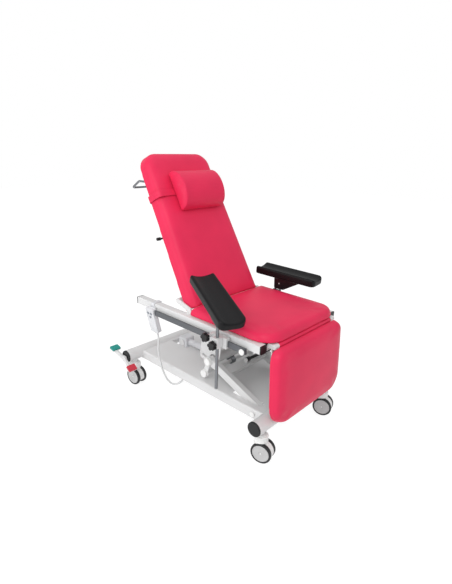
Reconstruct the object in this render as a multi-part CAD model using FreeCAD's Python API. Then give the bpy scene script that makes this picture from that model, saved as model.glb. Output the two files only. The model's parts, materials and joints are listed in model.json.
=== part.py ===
import FreeCAD, Part
import math
import os
from FreeCAD import Vector

# Phlebotomy chair, in millimetres. +X is the sitter's left, -Y the front, +Z up.
# It is modelled about the middle of its base and then set over the middle of its
# footprint, with the wheels standing on Z = 0.

# Clearances
weld_gap = 0.2            # between a piece and the one it is welded or screwed to
seat_gap = 0.3            # between a soft piece and what it lies on
running_gap = 0.05        # radial, a pin or tube turning in its hole
slide_gap = 0.3           # a piece sliding along another
cut_overrun = 2.0         # how far a cutting solid stands past what it cuts

# Base: two cross tubes and a folded tray between them
tube_radius = 38.0
tube_wall = 3.0
tube_length = 676.0
tube_spacing = 1023.0
tube_height = 199.5
cap_thickness = 9.0
cap_edge = 5.0
cap_plug_length = 18.0
tray_width = 480.0
tray_depth = 52.0
tray_rise = 18.5          # top of the tray above the tube axes
tray_sheet = 3.0
tray_bend = 10.0

# Lift arms: the main pair, and under each a parallel link rod
arm_angle = 21.9          # above the level, at the lowest position
arm_length = 386.0
arm_width = 30.0
arm_height = 44.0
arm_wall = 3.0
arm_spacing = 354.0
arm_foot_setback = 91.5   # lower pivot behind the front tube's axis
arm_foot_drop = 9.5       # and below it
pivot_pin_radius = 8.0
pivot_cap_radius = 14.0
pivot_cap_length = 5.0
link_offset = 82.0        # link pivots behind the arm pivots
link_radius = 6.0
link_eye_radius = 7.5
link_pin_radius = 4.0
link_inset = 9.0          # link plane inboard of the arm plane
slot_side_gap = 3.0
slot_front_gap = 12.0     # slot's front end before the arm's lower pivot
slot_length = 191.0
lug_thickness = 5.0
lug_radius = 17.0

# Arm frame: top tube that the seat head turns on, a cross bar and the crank
top_tube_radius = 30.0
top_tube_wall = 3.0
cross_bar_distance = 272.0   # from the lower pivot, along the arm
cross_bar_depth = 44.0
cross_bar_height = 30.0
crank_back = 26.0         # crank shaft behind the upper pivot
crank_drop = 84.0         # and below it
crank_thickness = 6.0
crank_waist_radius = 15.0
crank_shaft_radius = 11.0
hub_cap_radius = 22.0
hub_cap_length = 14.0
hub_cap_edge = 4.0
hub_ring_radius = 25.0
hub_ring_length = 2.0

# Lift actuator
actuator_x = 27.0
actuator_pivot_setback = 147.0   # pivot before the rear tube's axis
actuator_pivot_rise = 22.0       # pivot above the tray
actuator_pin_radius = 6.0
motor_width = 68.0
motor_front = 36.0
motor_rear = 34.0
motor_height = 66.0
motor_edge = 8.0
barrel_radius = 21.0
barrel_length = 235.0
ram_radius = 10.0
ram_eye_width = 30.0
ram_eye_wall = 6.0
ram_slot_play = 3.0       # radial, the crank's shaft in the slot of the ram's eye
ram_slot_back = 21.0      # slot's far end from the shaft, back along the ram
ram_slot_up = 24.0        # and square to it
actuator_slot_width = 86.0
actuator_slot_length = 144.0
actuator_slot_setback = 51.0     # slot's rear end before the rear tube's axis
clevis_thickness = 5.0
clevis_length = 40.0
clevis_depth = 34.0              # below the tray's sheet
clevis_flange = 20.0
control_box_width = 150.0
control_box_length = 210.0
control_box_height = 38.0
control_box_edge = 5.0
control_box_x = -75.0
control_box_y = 60.0
gland_radius = 9.0
gland_length = 16.0

# Seat frame
rail_spacing = 600.0      # between the rails' centre lines
rail_width = 44.0
rail_height = 41.0
rail_wall = 2.5
rail_edge = 4.0
rail_top = 619.0
rail_front = 502.0        # rail ends before and behind the middle of the base
rail_rear = 396.0
rail_cap_thickness = 6.0
rail_cap_plug = 14.0
cross_tube_width = 40.0
cross_tube_height = 28.0
cross_tube_wall = 2.5
front_cross_setback = 22.0
middle_cross_y = -112.0
rear_cross_y = -10.0
head_thickness = 6.0
head_gap = 4.0            # between the head plates and the arms
head_lobe_radius = 42.0
head_foot_radius = 24.0
head_edge = 12.0

# Accessory bars
bar_height = 30.0
bar_thickness = 10.0
bar_gap = 10.0            # between a rail and its bar
bar_drop = 28.0           # bar's top below the rail's top
bar_front = 436.0
bar_rear = 218.0
bar_edge = 1.5
spacer_radius = 8.0
spacer_places = (-400.0, -60.0, 190.0)
bar_stop_radius = 14.0
bar_stop_length = 12.0
bar_stop_inset = 12.0

# Seat
board_thickness = 12.0
board_edge_gap = 3.0
board_rear = 37.0
seat_half_width = 300.0
seat_front = 541.0
seat_rear = 14.0
seat_thickness = 49.0
seat_crown = 9.0
seat_front_radius = 100.0
seat_rear_radius = 34.0
seat_edge = 22.0

# Backrest: lengths up the back are measured from the crease with the seat
crease_y = -31.0
crease_z = 668.0
back_angle = 60.0
back_length = 876.0
back_start = -4.0
crease_gap = 4.0          # room in the seat around the back's foot
back_foot_half_width = 270.0
back_head_half_width = 236.0
back_thickness = 92.0
back_crown = 8.0
back_radius_low = 14.0
back_radius_high = 80.0
back_edge = 30.0
back_hinge_y = 4.0
hinge_pin_radius = 6.0
hinge_ear_thickness = 8.0
hinge_ear_radius = 16.0
hinge_height = 16.5       # hinge axis above the rails
hinge_ear_inset = 36.0    # ear's outer face inside the rail's outer face
hinge_arm_thickness = 6.0
hinge_arm_width = 26.0
back_frame_tube = 25.0
back_upright_spacing = 300.0
back_frame_low = 62.0
back_frame_high = 700.0
recline_range = 58.0
holder_rod_radius = 6.0
holder_bend_radius = 16.0
holder_foot_spacing = 376.0
holder_splay = 34.0          # the loop's outer part beside its feet
holder_foot_radius = 13.0
holder_foot_thickness = 5.0
holder_foot = 738.0          # lengths up the back
holder_elbow = 766.0
holder_tip = 762.0
holder_elbow_reach = 46.0    # distances behind the board
holder_reach = 121.0
lever_height = 419.0
lever_radius = 5.0
lever_reach = 238.0
lever_inner = 120.0
lever_grip_radius = 9.0
lever_grip_length = 28.0
lever_bracket = 20.0

# Head pillow and its strap
pillow_low = 515.0
pillow_height = 220.0
pillow_depth = 92.0
pillow_half_length = 158.0
pillow_centre = 12.0
pillow_travel_down = 40.0
strap_width = 36.0
strap_thickness = 2.5
strap_height = 626.0

# Legrest, hinged on the axis of a padded roll under the seat's front edge
leg_hinge_y = -533.0
leg_hinge_z = 606.0
leg_tilt = 3.0
leg_half_width = 294.0
leg_top = 592.0
leg_bottom = 202.0
leg_front = 597.0
leg_thickness = 64.0
leg_crown = 8.0
leg_radius_low = 105.0
leg_radius_high = 62.0
leg_edge = 26.0
leg_board_inset = 26.0
leg_ear_inset = 33.0      # ears' middles inside the rails' inner faces
leg_ear_width = 20.0
leg_ear_radius = 11.0
leg_ear_thickness = 6.0
leg_ear_overlap = 80.0    # length of the ear strap on the legrest's board
leg_lug_thickness = 6.0
leg_pin_radius = 5.0
roll_radius = 12.0
roll_end_gap = 3.0        # between the roll and the hinge lugs

# Assist spring between the arm frame's cross bar and the front of the seat frame
spring_tube_radius = 8.0
spring_tube_length = 235.0
spring_rod_radius = 4.0
spring_eye_radius = 11.0
spring_eye_width = 24.0
spring_pin_radius = 5.0
spring_foot_rise = 30.0      # foot pin above the cross bar's axis, square to the arm
spring_lug_thickness = 5.0
spring_top_y = -484.0
spring_top_drop = 20.0       # top pin below the front cross tube
spring_hole_play = 7.0       # the top pin's hole is this much larger in radius
spring_cheek_radius = 18.0

# Castors: twin wheels under a moulded hood
castor_inset = 57.5      # stems in from the ends of the cross tubes
castor_trail = 14.0
castor_turns = {"fl": 18.0, "fr": 15.0, "rl": 9.0, "rr": 6.0}   # degrees about the stems
wheel_radius = 54.0
tyre_depth = 10.0
tyre_round = 5.0
wheel_width = 19.0
wheel_gap = 33.0
hub_recess = 2.0
axle_radius = 4.0
hood_gap = 3.0
bonnet_radius = 36.0         # round cover about the stem, over the wheels' rear half
bonnet_bottom = 90.0
bonnet_edge = 5.0
web_radius = 51.0
web_gap = 1.5
socket_radius = 17.0
socket_drop = 14.0           # socket below the cross tube
stem_radius = 11.0
stem_depth = 12.0
collar_radius = 27.0
collar_height = 6.0

# Brake pedal at the rear left
pedal_thickness = 12.0
pedal_gap = 4.0
pedal_drop = 9.0
pedal_hub_radius = 19.0
pedal_leg_width = 24.0
pedal_shaft_radius = 8.0
green_reach = 102.0
green_angle = 14.0
red_reach = 80.0
red_angle = 37.0
pad_length = 56.0
pad_width = 40.0
pad_thickness = 10.0
pad_edge = 4.0
pedal_plate_thickness = 5.0

# Armrests
clamp_width = 38.0
clamp_height = 50.0
clamp_edge = 4.0
post_radius = 8.0
post_outboard = 28.0         # post axis outboard of the bar's outer face
post_length = 362.0
jaw_length = 108.0
jaw_front = 40.0             # jaw's front end before the post's axis
jaw_wall = 8.0
jaw_lip = 5.0                # inner lips, between the bar and the rail
knob_radius = 23.0
knob_length = 20.0
knob_lobe_radius = 9.0
knob_lobe_count = 5
knob_stud_radius = 5.0
knob_stud_gap = 6.0          # bare stud between the knob and its boss
knob_boss_radius = 9.0
knob_boss_length = 30.0
rail_knob_back = 54.0        # rail knob behind the post
head_block_width = 24.0
head_block_height = 46.0
head_block_length = 30.0
head_block_drop = 38.0       # block's foot below the tilt pin
head_socket = 20.0           # how far the post stands in the block
tilt_pin_radius = 4.0
arm_bracket_wall = 5.0
arm_bracket_top_length = 170.0
arm_bracket_foot_length = 62.0
arm_bracket_drop = 34.0      # bracket's foot below the tilt pin
pad_rise = 66.0              # middle of the arm pad above the tilt pin
arm_pad_length = 386.0
arm_pad_rear_width = 128.0
arm_pad_front_width = 132.0
arm_pad_height = 47.0
arm_pad_dish = 15.0
arm_pad_edge = 11.0
arm_pad_crest = 9.0
# Each side as it stands at rest: the post's place along the bar, the height of the
# tilt pin, the pad's turn about the post, its tilt nose down, and its middle before the post.
right_armrest = {"post_y": -286.0, "pin_z": 714.0, "yaw": -21.75, "tilt": 17.0, "forward": -39.0}
left_armrest = {"post_y": -105.0, "pin_z": 675.0, "yaw": 7.3, "tilt": 2.6, "forward": 48.0}

# Handset on the right rail, and its lead
handset_y = 254.0
handset_width = 66.0
handset_height = 158.0
handset_thickness = 27.0
handset_edge = 9.0
handset_lean = 14.0
handset_top_drop = 18.0
hook_width = 26.0
hook_wall = 4.0
hook_stud_width = 16.0
handset_standoff = 4.0
button_radius = 7.5
button_height = 3.0
button_recess = 2.0
button_gap = 0.4
button_spacing = 24.0
button_top_inset = 30.0
lead_radius = 5.5
lead_gland_wall = 3.0
cord_reach_share = 0.45


def box(x0, x1, y0, y1, z0, z1):
    return Part.makeBox(x1 - x0, y1 - y0, z1 - z0, Vector(x0, y0, z0))


def rod(radius, start, end):
    along = end - start
    return Part.makeCylinder(radius, along.Length, start, along)


def rod_x(radius, x0, x1, y, z):
    return rod(radius, Vector(x0, y, z), Vector(x1, y, z))


def edges_along(shape, axis):
    """Straight edges that run along the given unit vector."""
    found = []
    for edge in shape.Edges:
        if isinstance(edge.Curve, Part.Line):
            if abs(abs(edge.tangentAt(edge.FirstParameter).dot(axis)) - 1) < 0.001:
                found.append(edge)
    return found


def rounded(shape, radius, axis):
    return shape.makeFillet(radius, edges_along(shape, axis))


X_AXIS = Vector(1, 0, 0)
Y_AXIS = Vector(0, 1, 0)
Z_AXIS = Vector(0, 0, 1)


def turned(shape, axis, degrees, centre=None):
    copy = shape.copy()
    copy.rotate(centre or Vector(0, 0, 0), axis, degrees)
    return copy


def moved(shape, x, y, z):
    copy = shape.copy()
    copy.translate(Vector(x, y, z))
    return copy


def mirrored(shape):
    return shape.mirror(Vector(0, 0, 0), X_AXIS)


def rounded_wire(corners, radii, depth):
    """Closed outline through 2-D corners with an arc at each, at height depth."""
    arcs = []
    count = len(corners)
    for i in range(count):
        here = Vector(corners[i][0], corners[i][1], depth)
        before = Vector(corners[i - 1][0], corners[i - 1][1], depth)
        after = Vector(corners[(i + 1) % count][0], corners[(i + 1) % count][1], depth)
        back = (before - here).normalize()
        on = (after - here).normalize()
        half = back.getAngle(on) / 2
        middle = (back + on).normalize()
        centre = here + middle * (radii[i] / math.sin(half))
        reach = radii[i] / math.tan(half)
        arcs.append((here + back * reach, centre - middle * radii[i], here + on * reach))
    edges = []
    for i in range(count):
        start, middle, end = arcs[i]
        edges.append(Part.Arc(start, middle, end).toShape())
        edges.append(Part.LineSegment(end, arcs[(i + 1) % count][0]).toShape())
    return Part.Wire(edges)


def inset(corners, distance):
    """The same outline, counter-clockwise, with each side moved inwards."""
    moved_corners = []
    count = len(corners)
    for i in range(count):
        here = Vector(corners[i][0], corners[i][1], 0)
        before = Vector(corners[i - 1][0], corners[i - 1][1], 0)
        after = Vector(corners[(i + 1) % count][0], corners[(i + 1) % count][1], 0)
        back = (before - here).normalize()
        on = (after - here).normalize()
        half = back.getAngle(on) / 2
        middle = (back + on).normalize()
        corner = here + middle * (distance / math.sin(half))
        moved_corners.append((corner.x, corner.y))
    return moved_corners


def oblong(radius, start, end, x0, x1):
    """Flat bar from x0 to x1, with round ends about two places in Y and Z."""
    low, high = sorted((x0, x1))
    along = (end - start).normalize()
    across = Vector(0, -along.z, along.y) * radius
    corners = [start + across, start - across, end - across, end + across]
    points = [Vector(low, corner.y, corner.z) for corner in corners]
    bar = Part.Face(Part.makePolygon(points + points[:1])).extrude(Vector(high - low, 0, 0))
    ends = [rod_x(radius, low, high, place.y, place.z) for place in (start, end)]
    return bar.fuse(ends).removeSplitter()


def plate(corners, radii, low, high):
    """Flat plate with rounded corners, from height low to high."""
    face = Part.Face(rounded_wire(corners, radii, low))
    return face.extrude(Vector(0, 0, high - low))


def side_plate(corners, radii, x0, x1):
    """Flat plate whose outline is given in Y and Z, from x0 to x1."""
    low, high = sorted((x0, x1))
    return turned(plate(corners, radii, low, high), Vector(1, 1, 1), 120)


# Each pair: height up the cushion's side, and how far the side is drawn in there, as
# shares of the thickness and of the edge's roundness.
side_profile_shares = ((0.0, 0.2), (0.12, 0.04), (0.3, 0.0), (0.62, 0.05), (0.86, 0.4), (1.0, 1.05))
# Each pair: height within the crown, and distance in from the side as a share of half the
# cushion's shorter side.
crown_profile_shares = ((0.5, 0.3), (0.86, 0.56), (1.0, 0.84))
tightest_corner_share = 0.25


def cushion(corners, radii, base, thickness, edge, crown):
    wide = max(corner[0] for corner in corners) - min(corner[0] for corner in corners)
    long = max(corner[1] for corner in corners) - min(corner[1] for corner in corners)
    levels = [(base + thickness * up, edge * into) for up, into in side_profile_shares]
    levels += [(base + thickness + crown * up, min(wide, long) / 2 * into)
               for up, into in crown_profile_shares]
    sections = []
    for height, distance in levels:
        radii_here = [max(radius - distance, radius * tightest_corner_share) for radius in radii]
        sections.append(rounded_wire(inset(corners, distance), radii_here, height))
    return Part.makeLoft(sections, True, True)


parts = {}

# Heights and places that several pieces share
tube_y = tube_spacing / 2
tray_top = tube_height + tray_rise
tray_under = tray_top - tray_sheet
tray_bottom = tray_top - tray_depth
tray_half = tray_width / 2
arm_foot = Vector(0, -tube_y + arm_foot_setback, tube_height - arm_foot_drop)
arm_along = Vector(0, math.cos(math.radians(arm_angle)), math.sin(math.radians(arm_angle)))
arm_across = Vector(0, -arm_along.z, arm_along.y)
arm_head = arm_foot + arm_along * arm_length
link_foot = arm_foot + Vector(0, link_offset, 0)
link_head = arm_head + Vector(0, link_offset, 0)
crank_pin = arm_head + Vector(0, crank_back, -crank_drop)
arm_centre_x = arm_spacing / 2
arm_inner = arm_centre_x - arm_width / 2
arm_outer = arm_centre_x + arm_width / 2
link_x = arm_centre_x - link_inset
castor_reach = tube_length / 2 - castor_inset


def base_tube(side):
    y = side * tube_y
    half = tube_length / 2
    tube = rod_x(tube_radius, -half, half, y, tube_height)
    for x in (-castor_reach, castor_reach):
        socket = rod(socket_radius, Vector(x, y, tube_height - tube_radius - socket_drop),
                     Vector(x, y, tube_height))
        tube = tube.fuse(socket)
    bore = rod_x(tube_radius - tube_wall, -half - cut_overrun, half + cut_overrun, y, tube_height)
    tube = tube.cut(bore)
    for x in (-castor_reach, castor_reach):
        low = tube_height - tube_radius - socket_drop
        stem_hole = rod(stem_radius + running_gap, Vector(x, y, low - cut_overrun),
                        Vector(x, y, low + stem_depth + cut_overrun))
        tube = tube.cut(stem_hole)
    return tube


parts["base_tubes"] = Part.makeCompound([base_tube(-1), base_tube(1)])


def end_cap(x_side, y_side):
    half = tube_length / 2
    disc = rod_x(tube_radius, half + weld_gap, half + cap_thickness, y_side * tube_y, tube_height)
    rims = [edge for edge in disc.Edges
            if isinstance(edge.Curve, Part.Circle) and edge.Curve.Center.x > half + cap_edge]
    disc = disc.makeFillet(cap_edge, rims)
    plug = rod_x(tube_radius - tube_wall - weld_gap, half - cap_plug_length, half + cap_edge,
                 y_side * tube_y, tube_height)
    cap = disc.fuse(plug)
    if x_side < 0:
        cap = mirrored(cap)
    if x_side < 0 and y_side > 0:
        cap = cap.cut(rod_x(pedal_shaft_radius + running_gap, -half - cap_thickness - cut_overrun,
                            -half + cap_plug_length + cut_overrun, tube_y, tube_height - pedal_drop))
    return cap


parts["tube_end_caps"] = Part.makeCompound(
    [end_cap(x_side, y_side) for x_side in (-1, 1) for y_side in (-1, 1)])


def slot(x0, x1, y0, y1):
    return box(x0, x1, y0, y1, tray_under - cut_overrun, tray_top + cut_overrun)


def base_tray():
    outer = box(-tray_half, tray_half, -tube_y, tube_y, tray_bottom, tray_top)
    top_edges = [edge for edge in edges_along(outer, Y_AXIS)
                 if edge.CenterOfMass.z > tray_top - tray_sheet]
    outer = outer.makeFillet(tray_bend, top_edges)
    inner = box(-tray_half + tray_sheet, tray_half - tray_sheet, -tube_y - cut_overrun,
                tube_y + cut_overrun, tray_bottom - cut_overrun, tray_under)
    top_edges = [edge for edge in edges_along(inner, Y_AXIS)
                 if edge.CenterOfMass.z > tray_under - tray_sheet]
    inner = inner.makeFillet(tray_bend - tray_sheet, top_edges)
    tray = outer.cut(inner)
    for side in (-1, 1):
        tray = tray.cut(rod_x(tube_radius + weld_gap, -tray_half - cut_overrun,
                              tray_half + cut_overrun, side * tube_y, tube_height))
    slot_front = arm_foot.y - slot_front_gap
    for side in (-1, 1):
        x0 = side * arm_centre_x - arm_width / 2 - slot_side_gap
        tray = tray.cut(slot(x0, x0 + arm_width + 2 * slot_side_gap, slot_front,
                             slot_front + slot_length))
        pin = rod_x(pivot_pin_radius + weld_gap, side * (tray_half - tray_bend),
                    side * (tray_half + cut_overrun), arm_foot.y, arm_foot.z)
        tray = tray.cut(pin)
    slot_rear = tube_y - actuator_slot_setback
    tray = tray.cut(slot(actuator_x - actuator_slot_width / 2, actuator_x + actuator_slot_width / 2,
                         slot_rear - actuator_slot_length, slot_rear))
    return tray


parts["base_tray"] = base_tray()


def hung_lug(x0, x1, centre, radius, hole):
    """Lug hanging from the underside of the tray, with a rounded foot and a pin hole."""
    body = box(x0, x1, centre.y - radius, centre.y + radius, centre.z, tray_under - weld_gap)
    lug = body.fuse(rod_x(radius, x0, x1, centre.y, centre.z))
    return lug.cut(rod_x(hole, x0 - cut_overrun, x1 + cut_overrun, centre.y, centre.z))


actuator_pivot = Vector(actuator_x, tube_y - actuator_pivot_setback, tray_top + actuator_pivot_rise)


def actuator_clevis():
    half = motor_width / 2 + slide_gap
    low = tray_under - clevis_depth
    y0 = actuator_pivot.y - clevis_length / 2
    y1 = actuator_pivot.y + clevis_length / 2
    bracket = box(actuator_x - half - clevis_thickness, actuator_x + half + clevis_thickness,
                  y0, y1, low, low + clevis_thickness)
    pieces = []
    for side in (-1, 1):
        near = actuator_x + side * half
        far = near + side * clevis_thickness
        cheek = box(min(near, far), max(near, far), y0, y1, low, actuator_pivot.z)
        top = rod_x(clevis_length / 2, min(near, far), max(near, far), actuator_pivot.y,
                    actuator_pivot.z)
        pieces.append(cheek.fuse(top))
        slot_side = actuator_x + side * actuator_slot_width / 2
        out = slot_side + side * clevis_flange
        pieces.append(box(min(near, out), max(near, out), y0, y1, low, low + clevis_thickness))
        riser_in = out - side * clevis_thickness
        pieces.append(box(min(riser_in, out), max(riser_in, out), y0, y1, low,
                          tray_under - weld_gap))
    bracket = bracket.fuse(pieces).removeSplitter()
    hole = rod_x(actuator_pin_radius + running_gap, actuator_x - half - clevis_thickness - cut_overrun,
                 actuator_x + half + clevis_thickness + cut_overrun, actuator_pivot.y,
                 actuator_pivot.z)
    return bracket.cut(hole)


def base_lugs():
    lugs = [actuator_clevis()]
    for side in (-1, 1):
        inner = side * (arm_inner - slot_side_gap)
        deep = inner - side * lug_thickness
        lugs.append(hung_lug(min(inner, deep), max(inner, deep), arm_foot, lug_radius,
                             pivot_pin_radius + weld_gap))
        lugs.append(hung_lug(min(inner, deep), max(inner, deep), link_foot, lug_radius,
                             link_pin_radius + weld_gap))
    return lugs


def base_pins():
    pins = []
    for side in (-1, 1):
        inner = side * (arm_inner - slot_side_gap - lug_thickness)
        outer = side * (tray_half + weld_gap)
        pin = rod(pivot_pin_radius, Vector(inner, arm_foot.y, arm_foot.z),
                  Vector(outer, arm_foot.y, arm_foot.z))
        cap = rod(pivot_cap_radius, Vector(outer, arm_foot.y, arm_foot.z),
                  Vector(outer + side * pivot_cap_length, arm_foot.y, arm_foot.z))
        rims = [edge for edge in cap.Edges if isinstance(edge.Curve, Part.Circle)
                and abs(edge.Curve.Center.x) > tray_half + pivot_cap_length / 2]
        pins.append(pin.fuse(cap.makeFillet(pivot_cap_length / 2, rims)))
        far = side * (link_x + link_radius)
        pins.append(rod(link_pin_radius, Vector(inner, link_foot.y, link_foot.z),
                        Vector(far, link_foot.y, link_foot.z)))
    half = motor_width / 2 + slide_gap + clevis_thickness
    pins.append(rod_x(actuator_pin_radius, actuator_x - half, actuator_x + half,
                      actuator_pivot.y, actuator_pivot.z))
    return pins


parts["base_pivot_lugs"] = Part.makeCompound(base_lugs() + base_pins())


control_box_bottom = tray_under - weld_gap - control_box_height
gland_y = control_box_y + control_box_length / 4
gland_x = control_box_x - control_box_width / 2 - gland_length


def control_box():
    shell = box(control_box_x - control_box_width / 2, control_box_x + control_box_width / 2,
                control_box_y - control_box_length / 2, control_box_y + control_box_length / 2,
                control_box_bottom, tray_under - weld_gap)
    shell = rounded(shell, control_box_edge, Z_AXIS)
    z = control_box_bottom + control_box_height / 2
    gland = rod_x(gland_radius, gland_x, gland_x + gland_length * 2, gland_y, z)
    return shell.fuse(gland)


parts["control_box"] = control_box()


def arm_local(shape):
    """Turns a piece drawn along +Y from the origin into the arm's own line."""
    return moved(turned(shape, X_AXIS, arm_angle), 0, arm_foot.y, arm_foot.z)


def lift_arm(side):
    x = side * arm_centre_x
    radius = arm_height / 2
    half = arm_width / 2
    outer = box(x - half, x + half, 0, arm_length, -radius, radius)
    inner = box(x - half + arm_wall, x + half - arm_wall, radius, arm_length - radius,
                -radius + arm_wall, radius - arm_wall)
    arm = outer.fuse([rod_x(radius, x - half, x + half, 0, 0),
                      rod_x(radius, x - half, x + half, arm_length, 0)]).removeSplitter()
    arm = arm.cut(inner)
    hole = rod_x(pivot_pin_radius + running_gap, x - half - cut_overrun, x + half + cut_overrun, 0, 0)
    return arm_local(arm.cut(hole))


parts["lift_arms"] = Part.makeCompound([lift_arm(-1), lift_arm(1)])


def arm_cross_members():
    reach = arm_inner - weld_gap
    tube = rod_x(top_tube_radius, -reach, reach, arm_head.y, arm_head.z)
    tube = tube.cut(rod_x(top_tube_radius - top_tube_wall, -reach - cut_overrun,
                          reach + cut_overrun, arm_head.y, arm_head.z))
    bar = box(-reach, reach, cross_bar_distance - cross_bar_depth / 2,
              cross_bar_distance + cross_bar_depth / 2, -cross_bar_height / 2,
              cross_bar_height / 2)
    bar = rounded(bar, arm_wall, X_AXIS)
    bar = bar.cut(box(-reach - cut_overrun, reach + cut_overrun,
                      cross_bar_distance - cross_bar_depth / 2 + arm_wall,
                      cross_bar_distance + cross_bar_depth / 2 - arm_wall,
                      -cross_bar_height / 2 + arm_wall, cross_bar_height / 2 - arm_wall))
    pieces = [tube, arm_local(bar)]
    for side in (-1, 1):
        near = side * (spring_eye_width / 2 + slide_gap)
        far = near + side * spring_lug_thickness
        low = cross_bar_height / 2 + weld_gap
        lug = box(min(near, far), max(near, far), cross_bar_distance - spring_eye_radius,
                  cross_bar_distance + spring_eye_radius, low, spring_foot_rise)
        lug = lug.fuse(rod_x(spring_eye_radius, min(near, far), max(near, far),
                             cross_bar_distance, spring_foot_rise))
        pieces.append(arm_local(lug))
    half = spring_eye_width / 2 + slide_gap
    pieces.append(arm_local(rod_x(spring_pin_radius, -half, half, cross_bar_distance,
                                  spring_foot_rise)))
    return Part.makeCompound(pieces)


parts["arm_cross_members"] = arm_cross_members()


def crank_plate(side):
    x0 = side * (arm_outer + weld_gap)
    x1 = x0 + side * crank_thickness
    low, high = sorted((x0, x1))
    head = rod_x(hub_ring_radius, low, high, arm_head.y, arm_head.z)
    foot = rod_x(hub_ring_radius, low, high, crank_pin.y, crank_pin.z)
    waist = oblong(crank_waist_radius, arm_head, crank_pin, low, high)
    return head.fuse([waist, foot]).removeSplitter()


def crank():
    reach = arm_outer + weld_gap
    shaft = rod_x(crank_shaft_radius, -reach, reach, crank_pin.y, crank_pin.z)
    return Part.makeCompound([crank_plate(-1), crank_plate(1), shaft])


parts["actuator_crank"] = crank()


def hub_caps():
    caps = []
    for side in (-1, 1):
        face = side * (arm_outer + weld_gap + crank_thickness + weld_gap)
        for centre in (arm_head, crank_pin):
            ring = rod(hub_ring_radius - hub_ring_length, Vector(face, centre.y, centre.z),
                       Vector(face + side * hub_ring_length, centre.y, centre.z))
            start = Vector(face + side * hub_ring_length, centre.y, centre.z)
            end = Vector(face + side * (hub_ring_length + hub_cap_length), centre.y, centre.z)
            cap = rod(hub_cap_radius, start, end)
            rims = [edge for edge in cap.Edges if isinstance(edge.Curve, Part.Circle)
                    and abs(edge.Curve.Center.x - end.x) < hub_cap_length / 2]
            caps.append(ring.fuse(cap.makeFillet(hub_cap_edge, rims)))
    return Part.makeCompound(caps)


parts["arm_hub_caps"] = hub_caps()


def parallel_link(side):
    x = side * link_x
    ends = [Vector(x, foot.y, foot.z) for foot in (link_foot, link_head)]
    link = rod(link_radius, ends[0], ends[1])
    link = link.fuse([rod_x(link_eye_radius, x - link_radius, x + link_radius, end.y, end.z)
                      for end in ends])
    for end in ends:
        link = link.cut(rod_x(link_pin_radius + running_gap, x - link_radius - cut_overrun,
                              x + link_radius + cut_overrun, end.y, end.z))
    return link


parts["parallel_links"] = Part.makeCompound([parallel_link(-1), parallel_link(1)])


actuator_line = (crank_pin + Vector(actuator_x, 0, 0) - actuator_pivot).normalize()
actuator_tilt = math.degrees(math.atan2(actuator_line.z, -actuator_line.y))
crank_distance = (crank_pin + Vector(actuator_x, 0, 0) - actuator_pivot).Length


def actuator_local(shape):
    """Turns a piece drawn towards -Y from the origin onto the actuator's line."""
    return moved(turned(shape, X_AXIS, -actuator_tilt), actuator_x, actuator_pivot.y,
                 actuator_pivot.z)


def actuator_body():
    housing = box(-motor_width / 2, motor_width / 2, -motor_front, motor_rear,
                  -motor_height / 2, motor_height / 2)
    housing = rounded(housing, motor_edge, X_AXIS)
    barrel = rod(barrel_radius, Vector(0, -motor_front + motor_edge, 0), Vector(0, -barrel_length, 0))
    body = housing.fuse(barrel)
    body = body.cut(rod_x(actuator_pin_radius + running_gap, -motor_width, motor_width, 0, 0))
    body = body.cut(rod(ram_radius + running_gap, Vector(0, -motor_front, 0),
                        Vector(0, -barrel_length - cut_overrun, 0)))
    return actuator_local(body)


def actuator_ram():
    """Ram with a slotted eye: the shaft has room there for the whole of the lift."""
    shaft = Vector(0, -crank_distance, 0)
    far = shaft + Vector(0, ram_slot_back, ram_slot_up)
    slot_radius = crank_shaft_radius + ram_slot_play
    eye_radius = slot_radius + ram_eye_wall
    half = ram_eye_width / 2
    ram = rod(ram_radius, Vector(0, -motor_front - cut_overrun, 0), shaft + Vector(0, slot_radius, 0))
    ram = ram.fuse(oblong(eye_radius, shaft, far, -half, half))
    ram = ram.cut(oblong(slot_radius, shaft, far, -half - cut_overrun, half + cut_overrun))
    return actuator_local(ram)


parts["actuator_body"] = actuator_body()
parts["actuator_ram"] = actuator_ram()

# Seat frame
rail_bottom = rail_top - rail_height
rail_centre = rail_spacing / 2
rail_inner = rail_centre - rail_width / 2
leg_ear_reach = rail_inner - leg_ear_inset
rail_outer = rail_centre + rail_width / 2


def side_rail(side):
    x0 = side * rail_centre - rail_width / 2
    outer = box(x0, x0 + rail_width, -rail_front, rail_rear, rail_bottom, rail_top)
    outer = rounded(outer, rail_edge, Y_AXIS)
    inner = box(x0 + rail_wall, x0 + rail_width - rail_wall, -rail_front - cut_overrun,
                rail_rear + cut_overrun, rail_bottom + rail_wall, rail_top - rail_wall)
    return outer.cut(inner)


ear_outer = rail_outer - hinge_ear_inset
ear_inner = ear_outer - hinge_ear_thickness
hinge_arm_outer = ear_inner - slide_gap
hinge_arm_inner = hinge_arm_outer - hinge_arm_thickness


back_hinge_z = rail_top + hinge_height


def hinge_ear(side):
    x0, x1 = sorted((side * ear_inner, side * ear_outer))
    ear = box(x0, x1, back_hinge_y - hinge_ear_radius, back_hinge_y + hinge_ear_radius,
              rail_top + weld_gap, back_hinge_z)
    ear = ear.fuse(rod_x(hinge_ear_radius, x0, x1, back_hinge_y, back_hinge_z))
    pin = rod(hinge_pin_radius, Vector(side * hinge_arm_inner, back_hinge_y, back_hinge_z),
              Vector(side * ear_outer, back_hinge_y, back_hinge_z))
    return ear.fuse(pin)


parts["side_rails"] = Part.makeCompound([side_rail(-1), side_rail(1), hinge_ear(-1),
                                         hinge_ear(1)])


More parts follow.
